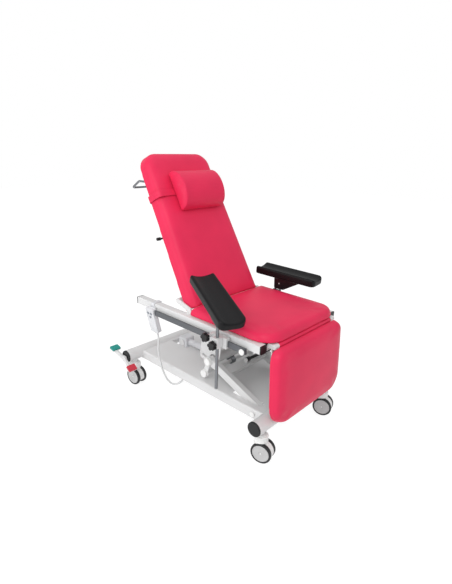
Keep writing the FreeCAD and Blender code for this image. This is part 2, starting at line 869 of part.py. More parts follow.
def rail_cap(x_side, end):
    x0 = x_side * rail_centre - rail_width / 2
    near = -rail_front - weld_gap if end < 0 else rail_rear + weld_gap
    far = near + end * rail_cap_thickness
    cap = box(x0, x0 + rail_width, min(near, far), max(near, far), rail_bottom, rail_top)
    cap = rounded(cap, rail_edge, Y_AXIS)
    gap = rail_wall + weld_gap
    deep = near - end * rail_cap_plug
    plug = box(x0 + gap, x0 + rail_width - gap, min(deep, far), max(deep, far),
               rail_bottom + gap, rail_top - gap)
    return cap.fuse(plug)


parts["rail_end_caps"] = Part.makeCompound(
    [rail_cap(x_side, end) for x_side in (-1, 1) for end in (-1, 1)])

front_cross_y = -rail_front + front_cross_setback


def cross_tube(y):
    reach = rail_inner - weld_gap
    outer = box(-reach, reach, y - cross_tube_width / 2, y + cross_tube_width / 2,
                rail_bottom, rail_bottom + cross_tube_height)
    outer = rounded(outer, rail_edge, X_AXIS)
    inner = box(-reach - cut_overrun, reach + cut_overrun,
                y - cross_tube_width / 2 + cross_tube_wall,
                y + cross_tube_width / 2 - cross_tube_wall,
                rail_bottom + cross_tube_wall, rail_bottom + cross_tube_height - cross_tube_wall)
    return outer.cut(inner)


spring_top = Vector(0, spring_top_y, rail_bottom - spring_top_drop)
spring_foot = arm_foot + arm_along * cross_bar_distance + arm_across * spring_foot_rise
spring_line = (spring_top - spring_foot).normalize()
spring_span = (spring_top - spring_foot).Length
spring_tilt = math.degrees(math.atan2(spring_line.z, -spring_line.y))


def spring_cheeks():
    """Two cheeks under the front cross tube; the top pin has play in their holes."""
    cheeks = []
    for side in (-1, 1):
        near = side * (spring_eye_width / 2 + slide_gap)
        x0, x1 = sorted((near, near + side * spring_lug_thickness))
        cheek = box(x0, x1, spring_top.y - spring_cheek_radius, spring_top.y + spring_cheek_radius,
                    spring_top.z, rail_bottom - weld_gap)
        cheek = cheek.fuse(rod_x(spring_cheek_radius, x0, x1, spring_top.y, spring_top.z))
        cheeks.append(cheek.cut(rod_x(spring_pin_radius + spring_hole_play, x0 - cut_overrun,
                                      x1 + cut_overrun, spring_top.y, spring_top.z)))
    return cheeks


def legrest_lugs():
    pieces = []
    tube_front = front_cross_y - cross_tube_width / 2 - weld_gap
    for side in (-1, 1):
        centre = side * leg_ear_reach
        for half in (-1, 1):
            near = centre + half * (leg_ear_width / 2 + slide_gap)
            x0, x1 = sorted((near, near + half * leg_lug_thickness))
            lug = box(x0, x1, leg_hinge_y, tube_front, leg_hinge_z - leg_ear_radius,
                      leg_hinge_z + leg_ear_radius)
            lug = lug.fuse(rod_x(leg_ear_radius, x0, x1, leg_hinge_y, leg_hinge_z))
            pieces.append(lug.cut(rod_x(leg_pin_radius + weld_gap, x0 - cut_overrun,
                                        x1 + cut_overrun, leg_hinge_y, leg_hinge_z)))
    reach = leg_ear_reach + leg_ear_width / 2 + slide_gap + leg_lug_thickness
    pieces.append(rod_x(leg_pin_radius, -reach, reach, leg_hinge_y, leg_hinge_z))
    return pieces


cross_tubes = [cross_tube(y) for y in (front_cross_y, middle_cross_y, rear_cross_y)]
parts["frame_cross_members"] = Part.makeCompound(cross_tubes + spring_cheeks() + legrest_lugs())


def head_plate(side):
    x0 = side * (arm_inner - head_gap)
    x1 = x0 - side * head_thickness
    top = rail_bottom - weld_gap
    outline = [(arm_head.y - head_lobe_radius, arm_head.z),
               (arm_head.y, arm_head.z - head_lobe_radius),
               (link_head.y + head_foot_radius, link_head.z - head_foot_radius),
               (link_head.y + head_foot_radius, link_head.z + head_foot_radius),
               (rear_cross_y + cross_tube_width / 2, top),
               (middle_cross_y - cross_tube_width / 2, top)]
    radii = [head_edge, head_edge, head_edge, head_edge, head_edge / 4, head_edge / 4]
    body = side_plate(outline, radii, x0, x1)
    hole = rod_x(top_tube_radius + running_gap, min(x0, x1) - cut_overrun,
                 max(x0, x1) + cut_overrun, arm_head.y, arm_head.z)
    pin = rod(link_pin_radius, Vector(x1, link_head.y, link_head.z),
              Vector(side * (link_x + link_radius), link_head.y, link_head.z))
    return body.cut(hole).fuse(pin)


parts["lift_head_plates"] = Part.makeCompound([head_plate(-1), head_plate(1)])

bar_top = rail_top - bar_drop
bar_bottom = bar_top - bar_height
bar_inner = rail_outer + bar_gap
bar_outer = bar_inner + bar_thickness


def accessory_bar(side):
    x0, x1 = sorted((side * bar_inner, side * bar_outer))
    bar = box(x0, x1, -bar_front, bar_rear, bar_bottom, bar_top)
    pieces = [rounded(bar, bar_edge, Y_AXIS)]
    z = (bar_top + bar_bottom) / 2
    for y in spacer_places:
        pieces.append(rod(spacer_radius, Vector(side * (rail_outer + weld_gap), y, z),
                          Vector(side * (bar_inner - weld_gap), y, z)))
    stop_y = -bar_front + bar_stop_inset
    stop = rod(bar_stop_radius, Vector(side * (bar_outer + weld_gap), stop_y, z),
               Vector(side * (bar_outer + bar_stop_length), stop_y, z))
    pieces.append(stop)
    return pieces


parts["accessory_bars"] = Part.makeCompound(accessory_bar(-1) + accessory_bar(1))


# Backrest pieces are drawn upright and then leaned back.
def back_local(shape):
    """X stays, Y is the distance behind the front face, Z the length up the back."""
    return moved(turned(shape, X_AXIS, back_angle - 90), 0, crease_y, crease_z)


# Seat
seat_board = box(-rail_inner + board_edge_gap, rail_inner - board_edge_gap,
                 -rail_front + front_cross_setback / 2, -board_rear,
                 rail_bottom + cross_tube_height + weld_gap, rail_top)
parts["seat_board"] = rounded(seat_board, rail_edge, Z_AXIS)

seat_corners = [(-seat_half_width, -seat_front), (seat_half_width, -seat_front),
                (seat_half_width, -seat_rear), (-seat_half_width, -seat_rear)]
seat_radii = [seat_front_radius, seat_front_radius, seat_rear_radius, seat_rear_radius]
seat_solid = cushion(seat_corners, seat_radii, rail_top + seat_gap,
                     seat_thickness - seat_gap, seat_edge, seat_crown)
# The seat's rear edge runs in under the backrest.
back_room = back_local(box(-seat_half_width - cut_overrun, seat_half_width + cut_overrun,
                           -crease_gap, back_thickness, back_start - crease_gap,
                           back_start + back_thickness))
parts["seat_cushion"] = seat_solid.cut(back_room)


def back_solid(flat):
    """Stands up a piece drawn in X and length, with its thickness in Z."""
    return back_local(turned(flat, X_AXIS, 90))


back_corners = [(-back_foot_half_width, back_start), (back_foot_half_width, back_start),
                (back_head_half_width, back_length), (-back_head_half_width, back_length)]
back_radii = [back_radius_low, back_radius_low, back_radius_high, back_radius_high]
parts["backrest_cushion"] = back_solid(cushion(back_corners, back_radii, -back_thickness,
                                               back_thickness - back_crown, back_edge, back_crown))

board_front = back_thickness + seat_gap
board_back = board_front + board_thickness
frame_front = board_back + weld_gap
frame_back = frame_front + back_frame_tube


def to_back(y, z):
    """A world Y and Z as the backrest's own depth and length."""
    angle = math.radians(90 - back_angle)
    dy, dz = y - crease_y, z - crease_z
    return dy * math.cos(angle) - dz * math.sin(angle), dy * math.sin(angle) + dz * math.cos(angle)


def backrest_board():
    corners = inset(back_corners, back_edge)
    radii = [radius - back_edge / 3 for radius in back_radii]
    return back_solid(plate(corners, radii, -board_back, -board_front))


def square_tube(x0, x1, z0, z1):
    """One bar of the back frame, drawn upright."""
    bar = box(x0, x1, frame_front, frame_back, z0, z1)
    axis = X_AXIS if x1 - x0 > z1 - z0 else Z_AXIS
    return rounded(bar, bar_edge * 2, axis)


def lever_bracket_block():
    x = -back_upright_spacing / 2
    half = lever_bracket / 2
    block = box(x - half, x + half, frame_back + weld_gap, frame_back + lever_bracket,
                lever_height - half, lever_height + half)
    hole = rod_x(lever_radius + running_gap, x - half - cut_overrun, x + half + cut_overrun,
                 frame_back + lever_bracket / 2, lever_height)
    return block.cut(hole)


def backrest_frame():
    upright = back_upright_spacing / 2
    half = back_frame_tube / 2
    bars = [square_tube(side * upright - half, side * upright + half,
                        back_frame_low + half + weld_gap, back_frame_high) for side in (-1, 1)]
    bars.append(square_tube(-hinge_arm_inner + weld_gap, hinge_arm_inner - weld_gap,
                            back_frame_low - half, back_frame_low + half))
    bars.append(lever_bracket_block())
    pieces = [back_local(bar) for bar in bars] + [backrest_board()]
    depth, length = to_back(back_hinge_y, back_hinge_z)
    for side in (-1, 1):
        x0, x1 = sorted((side * hinge_arm_inner, side * hinge_arm_outer))
        middle = (frame_front + frame_back) / 2
        start = Vector(0, depth, length)
        end = Vector(0, middle, back_frame_low)
        arm = oblong(hinge_arm_width / 2, start, end, x0, x1)
        arm = arm.cut(rod_x(hinge_pin_radius + running_gap, x0 - cut_overrun, x1 + cut_overrun,
                            start.y, start.z))
        pieces.append(back_local(arm))
    return Part.makeCompound(pieces)


parts["backrest_frame"] = backrest_frame()


def bent_rod(points, radius, bend):
    """Round rod through the points, with an arc of radius bend at each inner one."""
    edges = []
    start = points[0]
    for i in range(1, len(points) - 1):
        back = (points[i - 1] - points[i]).normalize()
        on = (points[i + 1] - points[i]).normalize()
        half = back.getAngle(on) / 2
        reach = bend / math.tan(half)
        middle = (back + on).normalize()
        centre = points[i] + middle * (bend / math.sin(half))
        edges.append(Part.LineSegment(start, points[i] + back * reach).toShape())
        edges.append(Part.Arc(points[i] + back * reach, centre - middle * bend,
                              points[i] + on * reach).toShape())
        start = points[i] + on * reach
    edges.append(Part.LineSegment(start, points[-1]).toShape())
    path = Part.Wire(edges)
    ring = Part.Wire(Part.makeCircle(radius, points[0], points[1] - points[0]))
    return path.makePipeShell([ring], True, False)


def roll_holder():
    """One bent rod on the back board, whose outer bar carries a paper roll."""
    foot_x = holder_foot_spacing / 2
    outer_x = foot_x + holder_splay
    foot_face = board_back + weld_gap
    half = [Vector(foot_x, foot_face + holder_foot_thickness, holder_foot),
            Vector(outer_x, board_back + holder_elbow_reach, holder_elbow),
            Vector(outer_x, board_back + holder_reach, holder_tip)]
    other = [Vector(-point.x, point.y, point.z) for point in reversed(half)]
    loop = bent_rod(half + other, holder_rod_radius, holder_bend_radius)
    feet = [rod(holder_foot_radius, Vector(side * foot_x, foot_face, holder_foot),
                Vector(side * foot_x, foot_face + holder_foot_thickness, holder_foot))
            for side in (-1, 1)]
    return back_local(loop.fuse(feet))


parts["roll_holder"] = roll_holder()


def release_lever():
    y = frame_back + lever_bracket / 2
    shaft = rod_x(lever_radius, -lever_reach + lever_grip_length / 2, -lever_inner, y, lever_height)
    grip = rod_x(lever_grip_radius, -lever_reach - lever_grip_length / 2,
                 -lever_reach + lever_grip_length / 2, y, lever_height)
    rims = [edge for edge in grip.Edges if isinstance(edge.Curve, Part.Circle)]
    return back_local(shaft.fuse(grip.makeFillet(lever_radius, rims)))


parts["recline_lever"] = release_lever()


# D-shaped outline of the pillow: how far the arcs' middle points stand off the back and
# up the height.
pillow_bulge_shares = (0.8, 0.93)


def pillow_section(place, size):
    """Outline at one place along the roll, flat against the back and its strap."""
    x = pillow_centre + pillow_half_length * place
    height = pillow_height * size
    depth = pillow_depth * size
    back = -strap_thickness - seat_gap * 2
    low = pillow_low + (pillow_height - height) / 2
    out_share, up_share = pillow_bulge_shares
    foot = Vector(x, back, low)
    top = Vector(x, back, low + height)
    front = Vector(x, back - depth, low + height / 2)
    upper = Vector(x, back - depth * out_share, low + height * up_share)
    lower = Vector(x, back - depth * out_share, low + height * (1 - up_share))
    return Part.Wire([Part.LineSegment(foot, top).toShape(), Part.Arc(top, upper, front).toShape(),
                      Part.Arc(front, lower, foot).toShape()])


# Each pair: place along the roll and the section's size there.
pillow_end_shares = ((-1.0, 0.66), (-0.95, 0.86), (-0.82, 0.97), (-0.5, 1.0), (0.5, 1.0),
                     (0.82, 0.97), (0.95, 0.86), (1.0, 0.66))
pillow_sections = [pillow_section(place, size) for place, size in pillow_end_shares]
parts["head_pillow"] = back_local(Part.makeLoft(pillow_sections, True, True))


def pillow_strap():
    """Closed band round the backrest and its frame, wide enough for its lowest place."""
    lowest = strap_height - strap_width / 2 - pillow_travel_down
    share = (lowest - back_start) / (back_length - back_start)
    half = back_foot_half_width + (back_head_half_width - back_foot_half_width) * share
    front = -seat_gap
    rear = frame_back + seat_gap
    shoulder = back_upright_spacing / 2 + back_frame_tube
    corners = [(-half, front), (half, front), (half, board_front), (shoulder, rear),
               (-shoulder, rear), (-half, board_front)]
    radii = [back_edge / 2] * 2 + [back_edge / 3] * 4
    low = strap_height - strap_width / 2
    outer = plate(inset(corners, -strap_thickness), [radius + strap_thickness for radius in radii],
                  low, low + strap_width)
    inner = plate(corners, radii, low - cut_overrun, low + strap_width + cut_overrun)
    return back_local(outer.cut(inner))


parts["pillow_strap"] = pillow_strap()


def leg_local(shape):
    """Tilts a piece drawn upright about the legrest's hinge."""
    return turned(shape, X_AXIS, -leg_tilt, Vector(0, leg_hinge_y, leg_hinge_z))


leg_corners = [(-leg_half_width, leg_bottom), (leg_half_width, leg_bottom),
               (leg_half_width, leg_top), (-leg_half_width, leg_top)]
leg_radii = [leg_radius_low, leg_radius_low, leg_radius_high, leg_radius_high]
leg_back = leg_front - leg_thickness
leg_board_back = leg_back - seat_gap - board_thickness
leg_flat = cushion(leg_corners, leg_radii, leg_back, leg_thickness - leg_crown, leg_edge, leg_crown)
parts["legrest_cushion"] = leg_local(turned(leg_flat, X_AXIS, 90))


def legrest_frame():
    board = plate(inset(leg_corners, leg_board_inset),
                  [radius - leg_board_inset / 2 for radius in leg_radii],
                  leg_board_back, leg_back - seat_gap)
    pieces = [turned(board, X_AXIS, 90)]
    strap_front = -leg_board_back + weld_gap
    strap_back = strap_front + leg_ear_thickness
    strap_foot = leg_top - leg_board_inset - leg_ear_overlap
    for side in (-1, 1):
        x0 = side * leg_ear_reach - leg_ear_width / 2
        x1 = x0 + leg_ear_width
        strap = box(x0, x1, strap_front, strap_back, strap_foot, leg_hinge_z)
        head = box(x0, x1, leg_hinge_y, strap_back, leg_hinge_z - leg_ear_radius,
                   leg_hinge_z + leg_ear_radius)
        knuckle = rod_x(leg_ear_radius, x0, x1, leg_hinge_y, leg_hinge_z)
        ear = strap.fuse([head, knuckle]).removeSplitter()
        pieces.append(ear.cut(rod_x(leg_pin_radius + running_gap, x0 - cut_overrun,
                                    x1 + cut_overrun, leg_hinge_y, leg_hinge_z)))
    return Part.makeCompound([leg_local(piece) for piece in pieces])


parts["legrest_frame"] = legrest_frame()
roll_reach = leg_ear_reach - leg_ear_width / 2 - slide_gap - leg_lug_thickness - roll_end_gap
roll = rod_x(roll_radius, -roll_reach, roll_reach, leg_hinge_y, leg_hinge_z)
parts["seat_front_roll"] = roll.cut(rod_x(leg_pin_radius + weld_gap, -roll_reach - cut_overrun,
                                          roll_reach + cut_overrun, leg_hinge_y, leg_hinge_z))


def spring_local(shape):
    """Turns a piece drawn towards -Y from the origin onto the assist spring's line."""
    return moved(turned(shape, X_AXIS, -spring_tilt), 0, spring_foot.y, spring_foot.z)


def spring_tube():
    half = spring_eye_width / 2
    tube = rod(spring_tube_radius, Vector(0, 0, 0), Vector(0, -spring_tube_length, 0))
    tube = tube.fuse(rod_x(spring_eye_radius + spring_pin_radius / 2, -half, half, 0, 0))
    tube = tube.cut(rod_x(spring_pin_radius + running_gap, -half - cut_overrun,
                          half + cut_overrun, 0, 0))
    bore = rod(spring_rod_radius + running_gap, Vector(0, -spring_eye_radius * 2, 0),
               Vector(0, -spring_tube_length - cut_overrun, 0))
    return spring_local(tube.cut(bore))


def spring_rod():
    half = spring_eye_width / 2
    bar = rod(spring_rod_radius, Vector(0, -spring_span / 4, 0), Vector(0, -spring_span, 0))
    eye = rod_x(spring_eye_radius, -half, half, -spring_span, 0)
    reach = half + slide_gap + spring_lug_thickness
    pin = rod_x(spring_pin_radius, -reach, reach, -spring_span, 0)
    return spring_local(bar.fuse([eye, pin]))


parts["assist_spring_tube"] = spring_tube()
parts["assist_spring_rod"] = spring_rod()


# Castors, drawn with the stem on the Z axis and the wheels trailing to the front
def castor_wheel(side):
    """One wheel: a tyre with rounded shoulders round a flat, slightly sunken hub."""
    x0 = wheel_gap / 2
    x1 = x0 + wheel_width
    corners = [(x0, axle_radius + running_gap), (x1 - hub_recess, axle_radius + running_gap),
               (x1 - hub_recess, wheel_radius - tyre_depth), (x1, wheel_radius - tyre_depth + hub_recess),
               (x1, wheel_radius), (x0, wheel_radius)]
    radii = [axle_radius / 4, axle_radius / 4, hub_recess / 2, hub_recess / 2, tyre_round,
             tyre_round]
    face = Part.Face(rounded_wire(corners, radii, 0))
    wheel = face.revolve(Vector(0, 0, 0), X_AXIS, 360)
    return wheel if side > 0 else mirrored(wheel)


def castor_housing():
    web_half = wheel_gap / 2 - web_gap
    web = rod_x(web_radius, -web_half, web_half, 0, 0)
    web = web.common(box(-web_half, web_half, -web_radius, web_radius, -axle_radius * 4,
                         web_radius))
    axle_reach = wheel_gap / 2 + wheel_width - hub_recess
    axle = rod_x(axle_radius, -axle_reach, axle_reach, 0, 0)
    socket_face = tube_height - tube_radius - socket_drop
    bonnet_top = socket_face - weld_gap - collar_height
    bonnet = rod(bonnet_radius, Vector(0, 0, bonnet_bottom), Vector(0, 0, bonnet_top))
    rims = [edge for edge in bonnet.Edges if isinstance(edge.Curve, Part.Circle)
            and edge.Curve.Center.z > bonnet_bottom]
    bonnet = bonnet.makeFillet(bonnet_edge, rims)
    bonnet = bonnet.cut(moved(wheel_space(), 0, -castor_trail, wheel_radius))
    collar = rod(collar_radius, Vector(0, 0, bonnet_top - bonnet_edge),
                 Vector(0, 0, socket_face - weld_gap))
    stem = rod(stem_radius, Vector(0, 0, bonnet_top), Vector(0, 0, socket_face + stem_depth))
    return moved(web.fuse(axle), 0, -castor_trail, wheel_radius).fuse([bonnet, collar, stem])


def wheel_space():
    """What the turning wheels need, either side of the web."""
    inner = wheel_gap / 2 - web_gap
    outer = bonnet_radius + cut_overrun
    return rod_x(wheel_radius + hood_gap, inner, outer, 0, 0).fuse(
        rod_x(wheel_radius + hood_gap, -outer, -inner, 0, 0))


castor_places = {"fl": (1, -1), "fr": (-1, -1), "rl": (1, 1), "rr": (-1, 1)}
castor_wheels = moved(Part.makeCompound([castor_wheel(-1), castor_wheel(1)]), 0, -castor_trail,
                      wheel_radius)
for name, (x_side, y_side) in castor_places.items():
    x = x_side * castor_reach
    y = y_side * tube_y
    for stem, piece in (("castor_housing_", castor_housing()), ("castor_wheels_", castor_wheels)):
        parts[stem + name] = moved(turned(piece, Z_AXIS, castor_turns[name]), x, y, 0)

# Brake pedal
pedal_y = tube_y
pedal_z = tube_height - pedal_drop
pedal_inner = -tube_length / 2 - cap_thickness - pedal_gap
pedal_outer = pedal_inner - pedal_thickness
pedal_middle = (pedal_inner + pedal_outer) / 2


def pedal_leg(side, reach, angle):
    """One leg of the V with the plate that carries its pad, drawn level and then turned."""
    leg = box(pedal_outer, pedal_inner, min(0, side * reach), max(0, side * reach),
              -pedal_leg_width / 2, pedal_leg_width / 2)
    plate_top = pedal_leg_width / 2
    shelf = box(pedal_middle - pad_length / 2, pedal_middle + pad_length / 2,
                side * reach - pad_width / 2, side * reach + pad_width / 2,
                plate_top - pedal_plate_thickness, plate_top)
    return moved(turned(leg.fuse(shelf), X_AXIS, angle), 0, pedal_y, pedal_z)


def pedal_pad(side, reach, angle):
    low = pedal_leg_width / 2 + weld_gap
    pad = box(pedal_middle - pad_length / 2, pedal_middle + pad_length / 2,
              side * reach - pad_width / 2, side * reach + pad_width / 2, low,
              low + pad_thickness)
    pad = rounded(pad, pad_edge, Z_AXIS)
    return moved(turned(pad, X_AXIS, angle), 0, pedal_y, pedal_z)


def brake_pedal():
    hub = rod_x(pedal_hub_radius, pedal_outer, pedal_inner, pedal_y, pedal_z)
    shaft = rod_x(pedal_shaft_radius, pedal_middle, -tube_length / 2 + cap_plug_length,
                  pedal_y, pedal_z)
    return hub.fuse([pedal_leg(1, green_reach, green_angle), pedal_leg(-1, red_reach, red_angle),
                     shaft])


parts["brake_pedal"] = brake_pedal()
parts["brake_pads"] = Part.makeCompound([pedal_pad(1, green_reach, green_angle),
                                         pedal_pad(-1, red_reach, red_angle)])

# Armrests: each is drawn for the sitter's left and mirrored for the right
post_x = bar_outer + post_outboard
bar_middle = (bar_top + bar_bottom) / 2
block_inner = post_x - clamp_width / 2
block_outer = post_x + clamp_width / 2
jaw_outer = block_inner
jaw_inner = bar_inner - slide_gap - jaw_lip
jaw_bottom = bar_bottom - slide_gap - jaw_wall
jaw_top = bar_top + slide_gap + jaw_wall * 2
block_bottom = bar_middle - clamp_height / 3
block_top = block_bottom + clamp_height
rail_knob_z = bar_top + jaw_wall
post_knob_z = bar_middle


def knob(inner, y, z):
    """Lobed hand knob on a stud along +X; inner is where its underside lies."""
    body = rod_x(knob_radius - knob_lobe_radius, inner, inner + knob_length, y, z)
    ring = knob_radius - knob_lobe_radius
    for i in range(knob_lobe_count):
        angle = math.radians(360 * i / knob_lobe_count)
        body = body.fuse(rod_x(knob_lobe_radius, inner, inner + knob_length,
                               y + ring * math.cos(angle), z + ring * math.sin(angle)))
    return body.removeSplitter()


def armrest_clamp():
    jaw = box(jaw_inner, jaw_outer, -jaw_front, jaw_length - jaw_front, jaw_bottom, jaw_top)
    jaw = rounded(jaw, bar_edge * 2, X_AXIS)
    channel = box(bar_inner - slide_gap, bar_outer + slide_gap, -jaw_length, jaw_length,
                  bar_bottom - slide_gap, bar_top + slide_gap)
    mouth = spacer_radius + slide_gap
    throat = box(jaw_inner - cut_overrun, bar_inner, -jaw_length, jaw_length,
                 bar_middle - mouth, bar_middle + mouth)
    block = box(block_inner - weld_gap, block_outer, -clamp_width / 2, clamp_width / 2,
                block_bottom, block_top)
    block = rounded(block, clamp_edge, Z_AXIS)
    boss = rod_x(knob_boss_radius, jaw_outer - weld_gap, jaw_outer + knob_boss_length,
                 rail_knob_back, rail_knob_z)
    clamp = jaw.fuse([block, boss]).cut(channel.fuse(throat))
    clamp = clamp.cut(rod(post_radius + running_gap, Vector(post_x, 0, block_bottom - cut_overrun),
                          Vector(post_x, 0, block_top + cut_overrun)))
    stud = knob_stud_radius + running_gap
    clamp = clamp.cut(rod_x(stud, post_x + post_radius, block_outer + cut_overrun, 0, post_knob_z))
    return clamp.cut(rod_x(stud, bar_outer + slide_gap * 2, jaw_outer + knob_boss_length + cut_overrun,
                           rail_knob_back, rail_knob_z))


def rail_knob():
    face = jaw_outer + knob_boss_length
    stud = rod_x(knob_stud_radius, bar_outer + slide_gap * 4, face + knob_stud_gap * 2,
                 rail_knob_back, rail_knob_z)
    return knob(face + knob_stud_gap, rail_knob_back, rail_knob_z).fuse(stud)


def post_knob():
    stud = rod_x(knob_stud_radius, post_x + post_radius + slide_gap, block_outer + knob_stud_gap * 2,
                 0, post_knob_z)
    return knob(block_outer + knob_stud_gap, 0, post_knob_z).fuse(stud)


def armrest_post(pin_z):
    top = pin_z - head_block_drop + head_socket
    tube = rod(post_radius, Vector(post_x, 0, top - post_length), Vector(post_x, 0, top))
    rims = [edge for edge in tube.Edges if isinstance(edge.Curve, Part.Circle)]
    return tube.makeChamfer(bar_edge, rims)


def head_block(pin_z, yaw):
    half = head_block_width / 2
    low = pin_z - head_block_drop
    block = box(post_x - half, post_x + half, -head_block_length / 2, head_block_length / 2,
                low, low + head_block_height)
    block = rounded(block, bar_edge, Z_AXIS)
    block = block.cut(rod(post_radius + running_gap, Vector(post_x, 0, low - cut_overrun),
                          Vector(post_x, 0, low + head_socket + slide_gap)))
    reach = half + slide_gap + arm_bracket_wall
    pin = rod_x(tilt_pin_radius, post_x - reach - bar_edge, post_x + reach + bar_edge, 0, pin_z)
    return turned(block.fuse(pin), Z_AXIS, yaw, Vector(post_x, 0, 0))


def tilted(shape, pin_z, yaw, tilt):
    """Sets a piece drawn about the tilt pin, level and facing forward, in its place."""
    leaned = moved(turned(shape, X_AXIS, tilt), post_x, 0, pin_z)
    return turned(leaned, Z_AXIS, yaw, Vector(post_x, 0, 0))


def armrest_bracket(forward):
    inner = head_block_width / 2 + slide_gap
    plate_top = pad_rise - arm_pad_height / 2 - weld_gap
    plate_low = plate_top - arm_bracket_wall
    middle = -forward
    half = arm_bracket_top_length / 2
    foot = arm_bracket_foot_length / 2
    outline = [(middle - half, plate_top), (middle - half, plate_low - arm_bracket_wall),
               (-foot, -arm_bracket_drop), (foot, -arm_bracket_drop),
               (middle + half, plate_low - arm_bracket_wall), (middle + half, plate_top)]
    radii = [bar_edge, bar_edge, clamp_edge, clamp_edge, bar_edge, bar_edge]
    cheeks = [side_plate(outline, radii, side * inner, side * (inner + arm_bracket_wall))
              for side in (-1, 1)]
    top = box(-inner - arm_bracket_wall, inner + arm_bracket_wall, middle - half, middle + half,
              plate_low, plate_top)
    bracket = top.fuse(cheeks)
    reach = inner + arm_bracket_wall + cut_overrun
    return bracket.cut(rod_x(tilt_pin_radius + running_gap, -reach, reach, 0, 0))


def arm_pad_section(place, width, size):
    """Gutter-shaped outline across the pad; its dished side is up."""
    half = width * size / 2
    y = place * arm_pad_length / 2
    low = -arm_pad_height / 2
    high = low + arm_pad_height * size
    edge = arm_pad_edge * size
    crest = half - arm_pad_crest * size
    points = [Vector(-half + edge, y, low), Vector(half - edge, y, low), Vector(half, y, (low + high) / 2),
              Vector(crest, y, high), Vector(0, y, high - arm_pad_dish * size), Vector(-crest, y, high),
              Vector(-half, y, (low + high) / 2)]
    return Part.Wire([Part.LineSegment(points[0], points[1]).toShape(),
                      Part.Arc(points[1], points[2], points[3]).toShape(),
                      Part.Arc(points[3], points[4], points[5]).toShape(),
                      Part.Arc(points[5], points[6], points[0]).toShape()])


# Each pair: place along the pad, front to rear, and the section's size there.
arm_pad_end_shares = ((-1.0, 0.86), (-0.975, 0.96), (-0.9, 1.0), (0.9, 1.0), (0.975, 0.96),
                      (1.0, 0.86))


def arm_pad(forward):
    sections = []
    for place, size in arm_pad_end_shares:
        width = (arm_pad_front_width * (1 - place) + arm_pad_rear_width * (1 + place)) / 2
        sections.append(arm_pad_section(place, width, size))
    return moved(Part.makeLoft(sections, True, True), 0, -forward, pad_rise)


def add_armrest(side, name, place):
    # A mirror turns the sense of the yaw, which is given in the part's own frame.
    yaw = place["yaw"] * side
    pieces = {
        "armrest_clamp_": armrest_clamp(),
        "rail_knob_": rail_knob(),
        "post_knob_": post_knob(),
        "armrest_post_": armrest_post(place["pin_z"]),
        "post_head_": head_block(place["pin_z"], yaw),
        "armrest_bracket_": tilted(armrest_bracket(place["forward"]), place["pin_z"], yaw,
                                   place["tilt"]),
        "armrest_pad_": tilted(arm_pad(place["forward"]), place["pin_z"], yaw, place["tilt"]),
    }
    for stem, piece in pieces.items():
        piece = moved(piece, 0, place["post_y"], 0)
        parts[stem + name] = piece if side > 0 else mirrored(piece)


add_armrest(-1, "right", right_armrest)
add_armrest(1, "left", left_armrest)

# Handset, drawn upright about the middle of its upper edge, hooked over the right rail
handset_top = rail_top - handset_top_drop
handset_inner_x = -rail_outer - slide_gap - hook_wall - handset_standoff


def handset_local(shape):
    """X = 0 is the handset's back, towards the rail, and Z = 0 its top."""
    return moved(turned(shape, Y_AXIS, -handset_lean), handset_inner_x, handset_y, handset_top)


def button_places():
    row = -button_top_inset
    half = button_spacing / 2
    return [(-half, row), (half, row), (0, row - button_spacing)]


def handset_shell():
    shell = box(-handset_thickness, 0, -handset_width / 2, handset_width / 2, -handset_height, 0)
    shell = rounded(shell, handset_edge, X_AXIS)
    rims = [edge for edge in shell.Edges if abs(edge.CenterOfMass.x + handset_thickness) < weld_gap]
    shell = shell.makeFillet(handset_edge / 3, rims)
    for y, z in button_places():
        shell = shell.cut(rod_x(button_radius + button_gap, -handset_thickness - cut_overrun,
                                -handset_thickness + button_recess + button_height, y, z))
    gland = rod(lead_radius + lead_gland_wall, Vector(-handset_thickness / 2, 0, -handset_height + handset_edge),
                Vector(-handset_thickness / 2, 0, -handset_height - gland_length / 2))
    return shell.fuse(gland)


def handset_hook():
    outside = -rail_outer - slide_gap - hook_wall
    inside = -rail_inner + slide_gap + hook_wall
    y0 = handset_y - hook_width / 2
    y1 = handset_y + hook_width / 2
    low = handset_top - hook_stud_width
    hook = box(outside, inside, y0, y1, low, rail_top + slide_gap + hook_wall)
    space = box(outside + hook_wall, inside - hook_wall, y0 - cut_overrun, y1 + cut_overrun,
                rail_bottom - cut_overrun, rail_top + slide_gap)
    half = hook_stud_width / 2
    stud = box(outside - hook_wall - handset_standoff, outside + hook_wall, handset_y - half,
               handset_y + half, low, low + half)
    return hook.cut(space).fuse(stud)


def handset_button(y, z):
    face = -handset_thickness
    button = rod_x(button_radius, face - button_height, face + button_recess, y, z)
    rims = [edge for edge in button.Edges if isinstance(edge.Curve, Part.Circle)
            and edge.Curve.Center.x < face]
    return handset_local(button.makeFillet(button_height / 3, rims))


parts["handset_shell"] = handset_local(handset_shell()).fuse(handset_hook())
for number, (y, z) in enumerate(button_places(), 1):
    parts["handset_button_%d" % number] = handset_button(y, z)

# Lead from the handset's gland to the control box, chosen by hand
lead_route = (
    (-299.4, 254.0, 436.7), (-292.0, 252.0, 405.0), (-295.0, 250.0, 365.0),
    (-300.0, 248.0, 322.0), (-302.0, 232.0, 268.0), (-299.0, 208.0, 198.0),
    (-290.0, 176.0, 147.0), (-272.0, 144.0, 128.0), (-245.0, 122.0, 140.0),
    (-221.0, 118.0, 158.0), (-199.0, 112.5, 195.8), (-166.0, 112.5, 195.8))


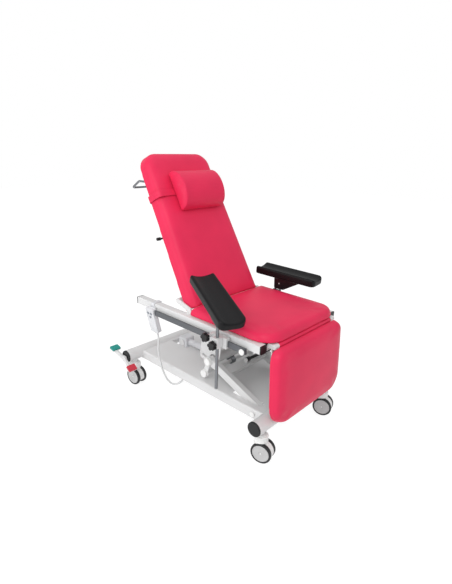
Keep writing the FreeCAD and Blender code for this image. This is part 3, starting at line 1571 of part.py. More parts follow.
def cord_tube(points, radius):
    """Straight runs joined by arcs as large as the runs allow."""
    edges = []
    start = points[0]
    radii = []
    length = 0
    for i in range(1, len(points) - 1):
        back = (points[i - 1] - points[i])
        on = (points[i + 1] - points[i])
        reach = cord_reach_share * min(back.Length, on.Length)
        back.normalize()
        on.normalize()
        turn = math.pi - back.getAngle(on)
        bend = reach / math.tan(turn / 2)
        radii.append(bend)
        middle = (back + on).normalize()
        centre = points[i] + middle * (bend / math.cos(turn / 2))
        edges.append(Part.LineSegment(start, points[i] + back * reach).toShape())
        edges.append(Part.Arc(points[i] + back * reach, centre - middle * bend,
                              points[i] + on * reach).toShape())
        start = points[i] + on * reach
    edges.append(Part.LineSegment(start, points[-1]).toShape())
    length = sum(edge.Length for edge in edges)
    ring = Part.Wire(Part.makeCircle(radius, points[0], points[1] - points[0]))
    tube = Part.Wire(edges).makePipeShell([ring], True, False)
    print("lead radii", [round(bend, 1) for bend in radii])
    print("lead volume", round(tube.Volume), "section by length",
          round(math.pi * radius ** 2 * length), "length", round(length))
    return tube


parts["handset_lead"] = cord_tube([Vector(*point) for point in lead_route], lead_radius)

# Setting the model over the middle of its footprint
standing = Part.makeCompound([shape for name, shape in parts.items() if name != "handset_lead"])
extent = standing.optimalBoundingBox(False, False)
offset = Vector(-(extent.XMin + extent.XMax) / 2, -(extent.YMin + extent.YMax) / 2, 0)

os.makedirs("parts", exist_ok=True)
for name, shape in parts.items():
    placed = shape.copy()
    placed.translate(offset)
    placed.exportStep("parts/" + name + ".step")
print("offset", offset, "size", extent.XLength, extent.YLength, extent.ZLength)
print(len(parts), "pieces")
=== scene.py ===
import json
import math

import bmesh
import bpy
from bpy.props import FloatProperty, PointerProperty, StringProperty
from mathutils import Matrix, Vector


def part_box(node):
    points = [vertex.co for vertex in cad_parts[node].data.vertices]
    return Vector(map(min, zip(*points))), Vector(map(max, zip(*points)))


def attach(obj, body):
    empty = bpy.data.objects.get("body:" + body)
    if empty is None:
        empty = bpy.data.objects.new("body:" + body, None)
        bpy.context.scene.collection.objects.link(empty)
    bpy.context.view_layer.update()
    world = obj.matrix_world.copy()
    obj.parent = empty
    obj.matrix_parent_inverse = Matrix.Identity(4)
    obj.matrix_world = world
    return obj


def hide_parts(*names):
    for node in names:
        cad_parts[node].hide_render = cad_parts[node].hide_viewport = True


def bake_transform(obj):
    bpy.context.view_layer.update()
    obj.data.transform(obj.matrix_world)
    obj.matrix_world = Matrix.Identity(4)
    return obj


bl_info = {
    "name": "Phlebotomy chair",
    "version": (1, 0, 0),
    "blender": (4, 5, 0),
    "location": "View3D > Sidebar > Chair",
    "description": "Dresses the frame of a blood-draw chair: upholstery, arm pads, castors and finishes",
    "category": "Object",
}

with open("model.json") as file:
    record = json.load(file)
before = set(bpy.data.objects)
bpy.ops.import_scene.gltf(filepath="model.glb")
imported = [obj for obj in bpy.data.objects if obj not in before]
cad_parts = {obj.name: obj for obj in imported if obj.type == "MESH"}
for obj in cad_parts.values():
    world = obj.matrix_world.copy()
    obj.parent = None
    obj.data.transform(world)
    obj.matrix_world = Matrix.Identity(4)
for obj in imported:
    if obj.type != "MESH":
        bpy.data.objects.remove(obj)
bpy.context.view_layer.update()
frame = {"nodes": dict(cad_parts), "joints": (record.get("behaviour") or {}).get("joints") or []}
MM = 0.001
TOLERANCE = MM / 100      # nearer than this, two places are one
X_AXIS = Vector((1, 0, 0))
Y_AXIS = Vector((0, 1, 0))
Z_AXIS = Vector((0, 0, 1))


def middle(node):
    """Middle of a CAD node's box."""
    low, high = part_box(node)
    return (low + high) / 2


# Middle of the base in the frame: places below are given from there, in millimetres.
BASE = middle("base_tubes")
BASE.z = 0


def place(x, y, z):
    """A place in the frame, from its millimetres off the middle of the base."""
    return BASE + Vector((x, y, z)) * MM


def size_setting(name, description, millimetres):
    return FloatProperty(name=name, description=description, default=millimetres * MM, unit="LENGTH",
                         precision=4)


def colour_setting(name, description, value):
    return StringProperty(name=name, description=description + ", as sRGB hex", default=value)


class ChairSizes(bpy.types.PropertyGroup):
    """Sizes of the soft and fitted pieces."""
    seat_edge: size_setting("Seat edge", "Roundness of the seat's upper edge", 27)
    seat_edge_depth: size_setting("Seat edge depth", "How far down the seat's roundness runs", 38)
    seat_crown: size_setting("Seat crown", "Rise of the seat's middle", 9)
    back_edge: size_setting("Back edge", "Roundness of the backrest's front edge", 36)
    back_edge_depth: size_setting("Back edge depth", "How far back its roundness runs below", 72)
    back_top_depth: size_setting("Back top depth", "How far back its roundness runs above", 36)
    back_crown: size_setting("Back crown", "Rise of the backrest's middle", 8)
    leg_edge: size_setting("Legrest edge", "Roundness of the legrest's front edge", 27)
    leg_edge_depth: size_setting("Legrest edge depth", "How far back its roundness runs", 44)
    leg_crown: size_setting("Legrest crown", "Rise of the legrest's middle", 8)
    voxel: size_setting("Foam grid", "Grid of the cushions before they are blown up", 6)
    swell: size_setting("Swell", "How far a cushion's cover may rise in the simulation", 4.5)
    pad_dish: size_setting("Arm pad dish", "Depth of the gutter along an arm pad", 15)
    pad_edge: size_setting("Arm pad edge", "Roundness of an arm pad's edges", 11)
    strap_thickness: size_setting("Strap thickness", "Thickness of the pillow's strap", 2.5)


class ChairColours(bpy.types.PropertyGroup):
    """Colours of the finishes."""
    vinyl: colour_setting("Upholstery", "Coated vinyl on the cushions", "E63058")
    powder: colour_setting("Frame", "Powder coat on the frame", "E0E0E0")
    pads: colour_setting("Arm pads", "Skinned foam of the arm pads", "0B0B0E")
    black: colour_setting("Knobs and caps", "Moulded black nylon", "0D0D0F")
    hub: colour_setting("Wheel discs", "Moulded discs of the castors", "C6C6C6")
    tyre: colour_setting("Tyres", "Rubber of the castors", "242426")
    # Tone darkened below real steel: a painted dark reflection.
    rail_steel: colour_setting("Accessory bars", "Brushed steel bars", "6C6E72")
    # Tone darkened below real chrome: a painted dark reflection.
    plating: colour_setting("Posts", "Bright plating on posts and rods", "84868A")
    shell: colour_setting("Handset", "Moulded shell of the handset", "DCDDE0")
    keys: colour_setting("Keys", "Keys of the handset", "8D9198")
    cable: colour_setting("Lead", "Sheath of the handset's lead", "DADBDB")
    brake_on: colour_setting("Red pedal", "Pad of the locking pedal", "D03648")
    brake_off: colour_setting("Green pedal", "Pad of the releasing pedal", "0B9389")


def sizes():
    return bpy.context.scene.chair_sizes


def colours():
    return bpy.context.scene.chair_colours


# Materials
def linear(value):
    """An sRGB hex colour as linear red, green, blue and alpha."""
    channels = [int(value[i:i + 2], 16) / 255 for i in (0, 2, 4)]
    return [c / 12.92 if c <= 0.04045 else ((c + 0.055) / 1.055) ** 2.4 for c in channels] + [1.0]


def toned(value, factor):
    """The same colour, lighter or darker."""
    return [channel * factor for channel in linear(value)[:3]] + [1.0]


def add(tree, kind, inputs=None, **settings):
    """Adds a node with its settings; each input is a value or a socket to link."""
    node = tree.nodes.new(kind)
    for name, value in settings.items():
        setattr(node, name, value)
    for name, value in (inputs or {}).items():
        if isinstance(value, bpy.types.NodeSocket):
            tree.links.new(value, node.inputs[name])
        else:
            node.inputs[name].default_value = value
    return node


def new_material(name, **values):
    """A material with one Principled shader, whose even values are set on its sockets."""
    material = bpy.data.materials.new(name)
    material.use_nodes = True
    tree = material.node_tree
    shader = tree.nodes["Principled BSDF"]
    for socket, value in values.items():
        shader.inputs[socket.replace("_", " ")].default_value = value
    return material, tree, shader


def coated_vinyl():
    """Polyurethane-coated vinyl, calendered: an even skin with a soft wide gloss and a fine
    leather grain that only catches the light at a slant."""
    tone = colours().vinyl
    material, tree, shader = new_material("coated_vinyl", Specular_IOR_Level=0.14, Coat_Weight=0.04,
                                          Coat_Roughness=0.25, Coat_IOR=1.5, IOR=1.5)
    space = add(tree, "ShaderNodeTexCoord").outputs["Object"]
    cloud = add(tree, "ShaderNodeTexNoise", {"Vector": space, "Scale": 5.0, "Detail": 2.0})
    tint = add(tree, "ShaderNodeValToRGB", {"Fac": cloud.outputs["Fac"]})
    tint.color_ramp.elements[0].position = 0.3
    tint.color_ramp.elements[0].color = toned(tone, 0.93)
    tint.color_ramp.elements[1].position = 0.7
    tint.color_ramp.elements[1].color = toned(tone, 1.04)
    # Grain cells of real vinyl are under 1 mm across; they are drawn 2.5 mm across to show.
    cells = add(tree, "ShaderNodeTexVoronoi", {"Vector": space, "Scale": 1 / 0.0025},
                feature="SMOOTH_F1")
    pores = add(tree, "ShaderNodeTexNoise", {"Vector": space, "Scale": 1 / 0.006, "Detail": 4.0})
    height = add(tree, "ShaderNodeMath", {0: cells.outputs["Distance"], 1: pores.outputs["Fac"]},
                 operation="ADD")
    bump = add(tree, "ShaderNodeBump", {"Height": height.outputs[0], "Strength": 0.12,
                                        "Distance": 0.0006})
    rough = add(tree, "ShaderNodeMapRange", {"Value": pores.outputs["Fac"], "To Min": 0.36,
                                             "To Max": 0.46})
    tree.links.new(tint.outputs["Color"], shader.inputs["Base Color"])
    tree.links.new(rough.outputs["Result"], shader.inputs["Roughness"])
    tree.links.new(bump.outputs["Normal"], shader.inputs["Normal"])
    return material


def powder_coat():
    """Polyester powder coat baked on steel: near white, with the slight orange peel that
    breaks up its satin gloss."""
    tone = colours().powder
    material, tree, shader = new_material("powder_coat", Specular_IOR_Level=0.5, IOR=1.5)
    space = add(tree, "ShaderNodeTexCoord").outputs["Object"]
    cloud = add(tree, "ShaderNodeTexNoise", {"Vector": space, "Scale": 3.0, "Detail": 3.0})
    tint = add(tree, "ShaderNodeValToRGB", {"Fac": cloud.outputs["Fac"]})
    tint.color_ramp.elements[0].position = 0.3
    tint.color_ramp.elements[0].color = toned(tone, 0.95)
    tint.color_ramp.elements[1].position = 0.65
    tint.color_ramp.elements[1].color = linear(tone)
    # Orange peel is about 1.5 mm from crest to crest.
    peel = add(tree, "ShaderNodeTexNoise", {"Vector": space, "Scale": 1 / 0.0015, "Detail": 1.0})
    bump = add(tree, "ShaderNodeBump", {"Height": peel.outputs["Fac"], "Strength": 0.1,
                                        "Distance": 0.0002})
    rough = add(tree, "ShaderNodeMapRange", {"Value": cloud.outputs["Fac"], "To Min": 0.3,
                                             "To Max": 0.4})
    tree.links.new(tint.outputs["Color"], shader.inputs["Base Color"])
    tree.links.new(rough.outputs["Result"], shader.inputs["Roughness"])
    tree.links.new(bump.outputs["Normal"], shader.inputs["Normal"])
    return material


def moulded(name, tone, roughness, grain, strength=0.25, specular=0.5):
    """Injection-moulded plastic: an even colour with the spark-eroded grain of its mould, an
    eighth as deep as it is wide, which scatters the gloss."""
    material, tree, shader = new_material(name, Specular_IOR_Level=specular, IOR=1.46)
    space = add(tree, "ShaderNodeTexCoord").outputs["Object"]
    spots = add(tree, "ShaderNodeTexNoise", {"Vector": space, "Scale": 1 / grain, "Detail": 3.0})
    cloud = add(tree, "ShaderNodeTexNoise", {"Vector": space, "Scale": 14.0, "Detail": 2.0})
    tint = add(tree, "ShaderNodeValToRGB", {"Fac": cloud.outputs["Fac"]})
    tint.color_ramp.elements[0].position = 0.35
    tint.color_ramp.elements[0].color = toned(tone, 0.92)
    tint.color_ramp.elements[1].position = 0.7
    tint.color_ramp.elements[1].color = toned(tone, 1.05)
    bump = add(tree, "ShaderNodeBump", {"Height": spots.outputs["Fac"], "Strength": strength,
                                        "Distance": grain / 8})
    rough = add(tree, "ShaderNodeMapRange", {"Value": spots.outputs["Fac"],
                                             "To Min": roughness - 0.05, "To Max": roughness + 0.07})
    tree.links.new(tint.outputs["Color"], shader.inputs["Base Color"])
    tree.links.new(rough.outputs["Result"], shader.inputs["Roughness"])
    tree.links.new(bump.outputs["Normal"], shader.inputs["Normal"])
    return material


def brushed_steel():
    """Flat steel bar, brushed along its length: streaks that run with the bar and darken where they
    turn from the light, painted into its colour as lighter and darker sheen; its tone is darkened
    below real steel as a painted dark reflection."""
    tone = colours().rail_steel
    material, tree, shader = new_material("brushed_steel", Metallic=0.85)
    space = add(tree, "ShaderNodeTexCoord").outputs["Object"]
    # Brush marks about 0.6 mm apart and 80 mm long.
    along = add(tree, "ShaderNodeMapping", {"Vector": space, "Scale": (1600, 12, 1600)})
    marks = add(tree, "ShaderNodeTexNoise", {"Vector": along.outputs["Vector"], "Scale": 1.0,
                                             "Detail": 3.0})
    # The streaks' lighter and darker tone is painted sheen.
    tint = add(tree, "ShaderNodeValToRGB", {"Fac": marks.outputs["Fac"]})
    tint.color_ramp.elements[0].position = 0.3
    tint.color_ramp.elements[0].color = toned(tone, 0.8)
    tint.color_ramp.elements[1].position = 0.7
    tint.color_ramp.elements[1].color = toned(tone, 1.1)
    bump = add(tree, "ShaderNodeBump", {"Height": marks.outputs["Fac"], "Strength": 0.15,
                                        "Distance": 0.0001})
    rough = add(tree, "ShaderNodeMapRange", {"Value": marks.outputs["Fac"], "To Min": 0.3,
                                             "To Max": 0.45})
    tree.links.new(tint.outputs["Color"], shader.inputs["Base Color"])
    tree.links.new(rough.outputs["Result"], shader.inputs["Roughness"])
    tree.links.new(bump.outputs["Normal"], shader.inputs["Normal"])
    return material


def bright_plating():
    """Polished nickel-chrome plating on drawn tube: a clear mirror with faint draw lines; its tone
    is darkened below real chrome as a painted dark reflection.
    """
    # The darkened tone stands in for a painted dark reflection of the surroundings.
    tone = colours().plating
    material, tree, shader = new_material("bright_plating", Metallic=1.0)
    space = add(tree, "ShaderNodeTexCoord").outputs["Object"]
    haze = add(tree, "ShaderNodeTexNoise", {"Vector": space, "Scale": 90.0, "Detail": 3.0})
    tint = add(tree, "ShaderNodeValToRGB", {"Fac": haze.outputs["Fac"]})
    tint.color_ramp.elements[0].color = toned(tone, 0.9)
    tint.color_ramp.elements[1].color = linear(tone)
    rough = add(tree, "ShaderNodeMapRange", {"Value": haze.outputs["Fac"], "To Min": 0.1,
                                             "To Max": 0.24})
    tree.links.new(tint.outputs["Color"], shader.inputs["Base Color"])
    tree.links.new(rough.outputs["Result"], shader.inputs["Roughness"])
    return material


PEDAL_Y = 511.5           # brake pedal's shaft behind the middle of the base


def pedal_plastic():
    """Moulded polypropylene in two colours: green behind the pedal's shaft, red before it."""
    material, tree, shader = new_material("pedal_plastic", Specular_IOR_Level=0.5, IOR=1.49,
                                          Roughness=0.42)
    space = add(tree, "ShaderNodeTexCoord").outputs["Object"]
    split = add(tree, "ShaderNodeSeparateXYZ", {"Vector": space})
    side = add(tree, "ShaderNodeMath", {0: split.outputs["Y"], 1: place(0, PEDAL_Y, 0).y},
               operation="GREATER_THAN")
    tint = add(tree, "ShaderNodeMix", {"Factor": side.outputs[0], "A": linear(colours().brake_on),
                                       "B": linear(colours().brake_off)}, data_type="RGBA")
    ribs = add(tree, "ShaderNodeTexWave", {"Vector": space, "Scale": 60.0, "Distortion": 0.0},
               bands_direction="X")
    bump = add(tree, "ShaderNodeBump", {"Height": ribs.outputs["Fac"], "Strength": 0.5,
                                        "Distance": 0.0006})
    tree.links.new(tint.outputs["Result"], shader.inputs["Base Color"])
    tree.links.new(bump.outputs["Normal"], shader.inputs["Normal"])
    return material


MATERIALS = {}


def make_materials():
    """Makes each finish; the moulded ones are given tone, roughness, grain width and strength."""
    tones = colours()
    MATERIALS["vinyl"] = coated_vinyl()
    MATERIALS["powder"] = powder_coat()
    MATERIALS["foam"] = moulded("skinned_polyurethane_foam", tones.pads, 0.42, 0.004, 0.12, 0.25)
    MATERIALS["black"] = moulded("moulded_black_nylon", tones.black, 0.4, 0.0012)
    MATERIALS["white"] = moulded("moulded_white_nylon", "F2F2F1", 0.35, 0.0015, 0.12)
    MATERIALS["hub"] = moulded("moulded_grey_nylon", tones.hub, 0.38, 0.0015, 0.15)
    MATERIALS["tyre"] = moulded("polyurethane_tyre", tones.tyre, 0.5, 0.002, 0.3)
    MATERIALS["shell"] = moulded("moulded_abs_shell", tones.shell, 0.4, 0.0012)
    MATERIALS["keys"] = moulded("silicone_keys", tones.keys, 0.5, 0.001)
    MATERIALS["cable"] = moulded("pvc_sheath", tones.cable, 0.4, 0.002, 0.15)
    MATERIALS["enamel"] = moulded("black_stove_enamel", "18181A", 0.3, 0.002, 0.1)
    MATERIALS["steel"] = brushed_steel()
    MATERIALS["plating"] = bright_plating()
    MATERIALS["pedal"] = pedal_plastic()


# Meshes
def finish_piece(name, work, material, body):
    """Turns a bmesh into a smoothly shaded piece that rides on a body."""
    bmesh.ops.remove_doubles(work, verts=work.verts, dist=TOLERANCE)
    bmesh.ops.recalc_face_normals(work, faces=work.faces)
    mesh = bpy.data.meshes.new(name)
    work.to_mesh(mesh)
    work.free()
    mesh.materials.append(MATERIALS[material])
    mesh.polygons.foreach_set("use_smooth", [True] * len(mesh.polygons))
    piece = bpy.data.objects.new(name, mesh)
    bpy.context.scene.collection.objects.link(piece)
    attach(piece, body)
    return piece


def vertices_of(result):
    """The vertices among what an operator made."""
    return [item for item in result["geom"] if isinstance(item, bmesh.types.BMVert)]


def outline(corners, radii, segments):
    """A bmesh with one flat face at z 0, its corners rounded one by one; all in millimetres."""
    work = bmesh.new()
    points = [work.verts.new((x * MM, y * MM, 0)) for x, y in corners]
    work.faces.new(points)
    for point, radius in zip(points, radii):
        bmesh.ops.bevel(work, geom=[point], offset=radius * MM, offset_type="OFFSET",
                        affect="VERTICES", segments=segments, profile=0.5, material=-1)
    return work


def push(work, way):
    """Pushes the bmesh's flat face into a solid."""
    pushed = bmesh.ops.extrude_face_region(work, geom=work.faces[:])
    bmesh.ops.translate(work, verts=vertices_of(pushed), vec=way)
    bmesh.ops.recalc_face_normals(work, faces=work.faces)


def round_edges(work, edges, radius, segments):
    """Rounds edges by a radius in metres."""
    bmesh.ops.bevel(work, geom=edges, offset=radius, offset_type="OFFSET", affect="EDGES",
                    segments=segments, profile=0.5, material=-1)


def edges_at(work, height):
    """The edges that lie at a height."""
    return [edge for edge in work.edges
            if all(abs(vertex.co.z - height) < TOLERANCE for vertex in edge.verts)]


def end_edges(work):
    """The edges of both ends of a form that runs along X."""
    return [edge for edge in work.edges
            if abs(edge.verts[0].co.x - edge.verts[1].co.x) < TOLERANCE]


def refined(piece):
    """Smooths a padded piece's grid by one step of subdivision."""
    rounding = piece.modifiers.new("rounding", "SUBSURF")
    rounding.levels = 1
    rounding.render_levels = 1


def remeshed(work, voxel):
    """The same closed form on an even grid."""
    mesh = bpy.data.meshes.new("grid")
    work.to_mesh(mesh)
    work.free()
    holder = bpy.data.objects.new("grid", mesh)
    bpy.context.scene.collection.objects.link(holder)
    remesh = holder.modifiers.new("grid", "REMESH")
    remesh.mode = "VOXEL"
    remesh.voxel_size = voxel
    even = evaluated(holder)
    bpy.data.objects.remove(holder)
    return even


def evaluated(holder):
    """A mesh of the object with its modifiers."""
    graph = bpy.context.evaluated_depsgraph_get()
    graph.update()
    return bpy.data.meshes.new_from_object(holder.evaluated_get(graph))


def fitted(mesh, passes, low, high):
    """A bmesh of the form, smoothed, which shrinks it, and then drawn back to its box."""
    work = bmesh.new()
    work.from_mesh(mesh)
    bpy.data.meshes.remove(mesh)
    for _ in range(passes):
        bmesh.ops.smooth_vert(work, verts=work.verts, factor=0.5, use_axis_x=True,
                              use_axis_y=True, use_axis_z=True)
    for axis in range(3):
        places = [vertex.co[axis] for vertex in work.verts]
        start, end = min(places), max(places)
        scale = (high[axis] - low[axis]) / (end - start)
        for vertex in work.verts:
            vertex.co[axis] = low[axis] + (vertex.co[axis] - start) * scale
    return work


COVER_FRAMES = 20         # frames for which a cover is blown up


def inflated(mesh, held_height, cap):
    """Blows a cover up by a cloth simulation, by no more than the cap. What is lower than the
    held height stays."""
    holder = bpy.data.objects.new("cover", mesh)
    bpy.context.scene.collection.objects.link(holder)
    before = [vertex.co.copy() for vertex in mesh.vertices]
    group = holder.vertex_groups.new(name="held")
    group.add([i for i, co in enumerate(before) if co.z < held_height], 1.0, "REPLACE")
    cloth = holder.modifiers.new("cover", "CLOTH")
    cloth.settings.quality = 5
    cloth.settings.mass = 0.3
    cloth.settings.tension_stiffness = 15
    cloth.settings.compression_stiffness = 15
    cloth.settings.bending_stiffness = 0.5
    cloth.settings.use_pressure = True
    cloth.settings.uniform_pressure_force = 4
    cloth.settings.vertex_group_mass = "held"
    cloth.settings.effector_weights.gravity = 0
    cloth.collision_settings.use_collision = False
    cloth.collision_settings.use_self_collision = False
    scene = bpy.context.scene
    for number in range(1, COVER_FRAMES + 1):
        scene.frame_set(number)
    blown = evaluated(holder)
    bpy.data.objects.remove(holder)
    scene.frame_set(1)
    for vertex, start in zip(blown.vertices, before):
        shift = vertex.co - start
        if shift.length > cap:
            vertex.co = start + shift * (cap / shift.length)
    return blown


STAPLED_HEIGHT = 12.0     # up to here a cushion's cover is held on its board
SMOOTHING = 6             # how often a cushion is smoothed


def cushion(name, foam, crown, stand, body, trim=None):
    """Upholstered cushion, flat underneath. Its foam, drawn from z 0 up, is crowned, swollen as
    under its cover, smoothed, set in place by the matrix stand, and trimmed there."""
    half_x = max(vertex.co.x for vertex in foam.verts)
    low_y = min(vertex.co.y for vertex in foam.verts)
    high_y = max(vertex.co.y for vertex in foam.verts)
    thickness = max(vertex.co.z for vertex in foam.verts)
    grid = sizes().voxel * 1
    mesh = remeshed(foam, grid)
    centre_y = (low_y + high_y) / 2
    half_y = (high_y - low_y) / 2
    for vertex in mesh.vertices:
        co = vertex.co
        level = max(0.0, co.z / thickness)
        across = max(0.0, 1 - (co.x / half_x) ** 2)
        along = max(0.0, 1 - ((co.y - centre_y) / half_y) ** 2)
        co.z += crown * level * across * along
    mesh = inflated(mesh, STAPLED_HEIGHT * MM, sizes().swell)
    soft = fitted(mesh, SMOOTHING, (-half_x, low_y, 0), (half_x, high_y, thickness + crown))
    bmesh.ops.transform(soft, matrix=stand, verts=soft.verts)
    if trim:
        trim(soft)
    piece = finish_piece(name, soft, "vinyl", body)
    refined(piece)
    return piece


def foam_block(corners, radii, thickness, edge, depths, rear_edge):
    """Flat block of foam with its back at z 0. The corners, their radii and the rear edge are in
    millimetres, the lengths that come from the settings in metres. The front rim is rounded as
    a quarter ellipse, as deep as the two depths say at its low and high end."""
    work = outline(corners, radii, 10)
    push(work, (0, 0, thickness))
    round_edges(work, edges_at(work, thickness), edge, 8)
    low_y = min(vertex.co.y for vertex in work.verts)
    high_y = max(vertex.co.y for vertex in work.verts)
    for vertex in work.verts:
        depth = thickness - vertex.co.z
        if depth < edge + TOLERANCE:
            share = (vertex.co.y - low_y) / (high_y - low_y)
            vertex.co.z = thickness - depth * (depths[0] * (1 - share) + depths[1] * share) / edge
    round_edges(work, edges_at(work, 0), rear_edge * MM, 4)
    return work


# Places of the cushions, from the middle of the base, in millimetres
SEAT_BASE = 619.3         # underside of the seat
SEAT_FRONT = -541.0
SEAT_REAR = -14.0
SEAT_HALF = 300.0
SEAT_THICK = 49.0
BACK_CREASE = (-31.0, 668.0)   # Y and Z where the back's face meets the seat
BACK_ANGLE = 60.0         # degrees from the floor
BACK_THICK = 92.0
BACK_START = -5.0         # foot, as a length up the back from the crease
BACK_END = 876.0
BACK_HALF_LOW = 270.0     # half width at the foot
BACK_HALF_HIGH = 236.0
LEG_HINGE = (-533.0, 606.0)    # Y and Z
LEG_TILT = 3.0            # degrees
LEG_HALF = 294.0
LEG_TOP = 602.0
LEG_BOTTOM = 202.0
LEG_FRONT = -597.0
LEG_THICK = 64.0


def back_matrix():
    """Takes X, length up the back and height off its face to the frame's own axes."""
    lean = math.radians(90 - BACK_ANGLE)
    up = Vector((0, math.sin(lean), math.cos(lean)))
    out = Vector((0, -math.cos(lean), math.sin(lean)))
    turn = Matrix((X_AXIS, up, out)).transposed().to_4x4()
    return Matrix.Translation(place(0, *BACK_CREASE)) @ turn


def half_width(height):
    """Half of the back's width at a length up the back, in millimetres."""
    share = (height - BACK_START) / (BACK_END - BACK_START)
    return BACK_HALF_LOW + (BACK_HALF_HIGH - BACK_HALF_LOW) * share


class CHAIR_OT_lead(bpy.types.Operator):
    """Handset's lead, hanging in a loop between the handset and the control box"""
    bl_idname = "chair.lead"
    bl_label = "Handset lead"

    # The route runs from the handset's gland to the control box, from the base's middle.
    route = (
        (-299.4, 254.0, 436.7), (-292.0, 252.0, 405.0), (-295.0, 250.0, 365.0),
        (-300.0, 248.0, 322.0), (-302.0, 232.0, 268.0), (-299.0, 208.0, 198.0),
        (-290.0, 176.0, 147.0), (-272.0, 144.0, 128.0), (-245.0, 122.0, 140.0),
        (-221.0, 118.0, 158.0), (-199.0, 112.5, 195.8), (-166.0, 112.5, 195.8))
    radius = 5.5
    handset_share = 0.526     # how much of the arms' motion the handset makes there

    def execute(self, context):
        line = bpy.data.curves.new("lead_line", "CURVE")
        line.dimensions = "3D"
        line.resolution_u = 12
        spline = line.splines.new("NURBS")
        spline.points.add(len(self.route) - 1)
        for point, (x, y, z) in zip(spline.points, self.route):
            point.co = [*place(x, y, z), 1.0]
        spline.order_u = 3
        spline.use_endpoint_u = True
        holder = bpy.data.objects.new("lead_line", line)
        context.scene.collection.objects.link(holder)
        bare = evaluated(holder)
        line.bevel_depth = self.radius * MM
        line.bevel_resolution = 4
        tube = evaluated(holder)
        bpy.data.objects.remove(holder)
        work = bmesh.new()
        work.from_mesh(tube)
        piece = finish_piece("handset_cable", work, "cable", "base")
        piece.parent = None
        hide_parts("handset_lead")
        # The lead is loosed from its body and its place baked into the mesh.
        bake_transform(piece)
        return {"FINISHED"}


class CHAIR_OT_seat(bpy.types.Operator):
    """Seat cushion and the padded roll under its front edge"""
    bl_idname = "chair.seat"
    bl_label = "Seat"

    front_radius = 100.0
    rear_radius = 14.0
    rear_edge = 5.0           # roundness of the lower edge
    roll_edge = 5.0           # roundness of the roll's ends
    room = 1.5                # kept free round the backrest's foot

    def execute(self, context):
        corners = [(-SEAT_HALF, SEAT_FRONT), (SEAT_HALF, SEAT_FRONT), (SEAT_HALF, SEAT_REAR),
                   (-SEAT_HALF, SEAT_REAR)]
        radii = [self.front_radius] * 2 + [self.rear_radius] * 2
        foam = foam_block(corners, radii, SEAT_THICK * MM, sizes().seat_edge,
                          [sizes().seat_edge_depth] * 2, self.rear_edge)
        stand = Matrix.Translation(place(0, 0, SEAT_BASE))
        piece = cushion("seat_upholstery", foam, sizes().seat_crown, stand, "seat_frame",
                        self.notch)
        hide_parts("seat_cushion")
        self.make_roll()
        return {"FINISHED"}

    def make_roll(self):
        """A padded tube of the frame's own size."""
        low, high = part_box("seat_front_roll")
        radius = (high.z - low.z) / 2
        work = bmesh.new()
        bmesh.ops.create_cone(work, cap_ends=True, segments=32, radius1=radius, radius2=radius,
                              depth=high.x - low.x, matrix=Matrix.Rotation(math.pi / 2, 4, "Y"))
        round_edges(work, end_edges(work), self.roll_edge * MM, 4)
        bmesh.ops.translate(work, verts=work.verts, vec=middle("seat_front_roll"))
        roll = finish_piece("front_roll_cover", work, "vinyl", "seat_frame")
        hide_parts("seat_front_roll")

    def notch(self, foam):
        """Presses the seat's rear edge down under the backrest's foot."""
        back = back_matrix()
        inside = back.inverted()
        limit = (BACK_START - self.room) * MM
        for vertex in foam.verts:
            local = inside @ vertex.co
            if local.z < self.room * MM and local.y > limit:
                local.y = limit
                vertex.co = back @ local


class CHAIR_OT_backrest(bpy.types.Operator):
    """Backrest cushion"""
    bl_idname = "chair.backrest"
    bl_label = "Backrest"

    head_radius = 84.0
    rear_edge = 6.0           # roundness of the edge at the board
    spare = 60.0              # drawn too long at the foot, and cut off
    spare_radius = 20.0
    foot_edge = 3.0           # roundness of the edge that meets the seat
    foot_press = 8.0          # how far the foot is pressed in

    def execute(self, context):
        # Drawn too long at its foot, cut there, and pressed flat at last, so that the foot
        # stays nearly square.
        start = BACK_START - self.spare
        low = half_width(start)
        corners = [(-low, start), (low, start), (BACK_HALF_HIGH, BACK_END),
                   (-BACK_HALF_HIGH, BACK_END)]
        radii = [self.spare_radius] * 2 + [self.head_radius] * 2
        crown = sizes().back_crown
        foam = foam_block(corners, radii, BACK_THICK * MM - crown, sizes().back_edge,
                          (sizes().back_edge_depth, sizes().back_top_depth), self.rear_edge)
        bmesh.ops.bisect_plane(foam, geom=foam.verts[:] + foam.edges[:] + foam.faces[:],
                               plane_co=(0, (BACK_START - self.foot_press) * MM, 0),
                               plane_no=(0, -1, 0), clear_outer=True)
        rim = [edge for edge in foam.edges if edge.is_boundary]
        bmesh.ops.holes_fill(foam, edges=rim)
        round_edges(foam, rim, self.foot_edge * MM, 4)
        stand = back_matrix() @ Matrix.Translation((0, 0, -BACK_THICK * MM))
        piece = cushion("backrest_upholstery", foam, crown, stand, "backrest", self.press)
        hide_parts("backrest_cushion")
        return {"FINISHED"}

    def press(self, foam):
        """Presses the foot flat where it stands on the seat."""
        back = back_matrix()
        inside = back.inverted()
        for vertex in foam.verts:
            local = inside @ vertex.co
            local.y = max(local.y, BACK_START * MM)
            vertex.co = back @ local


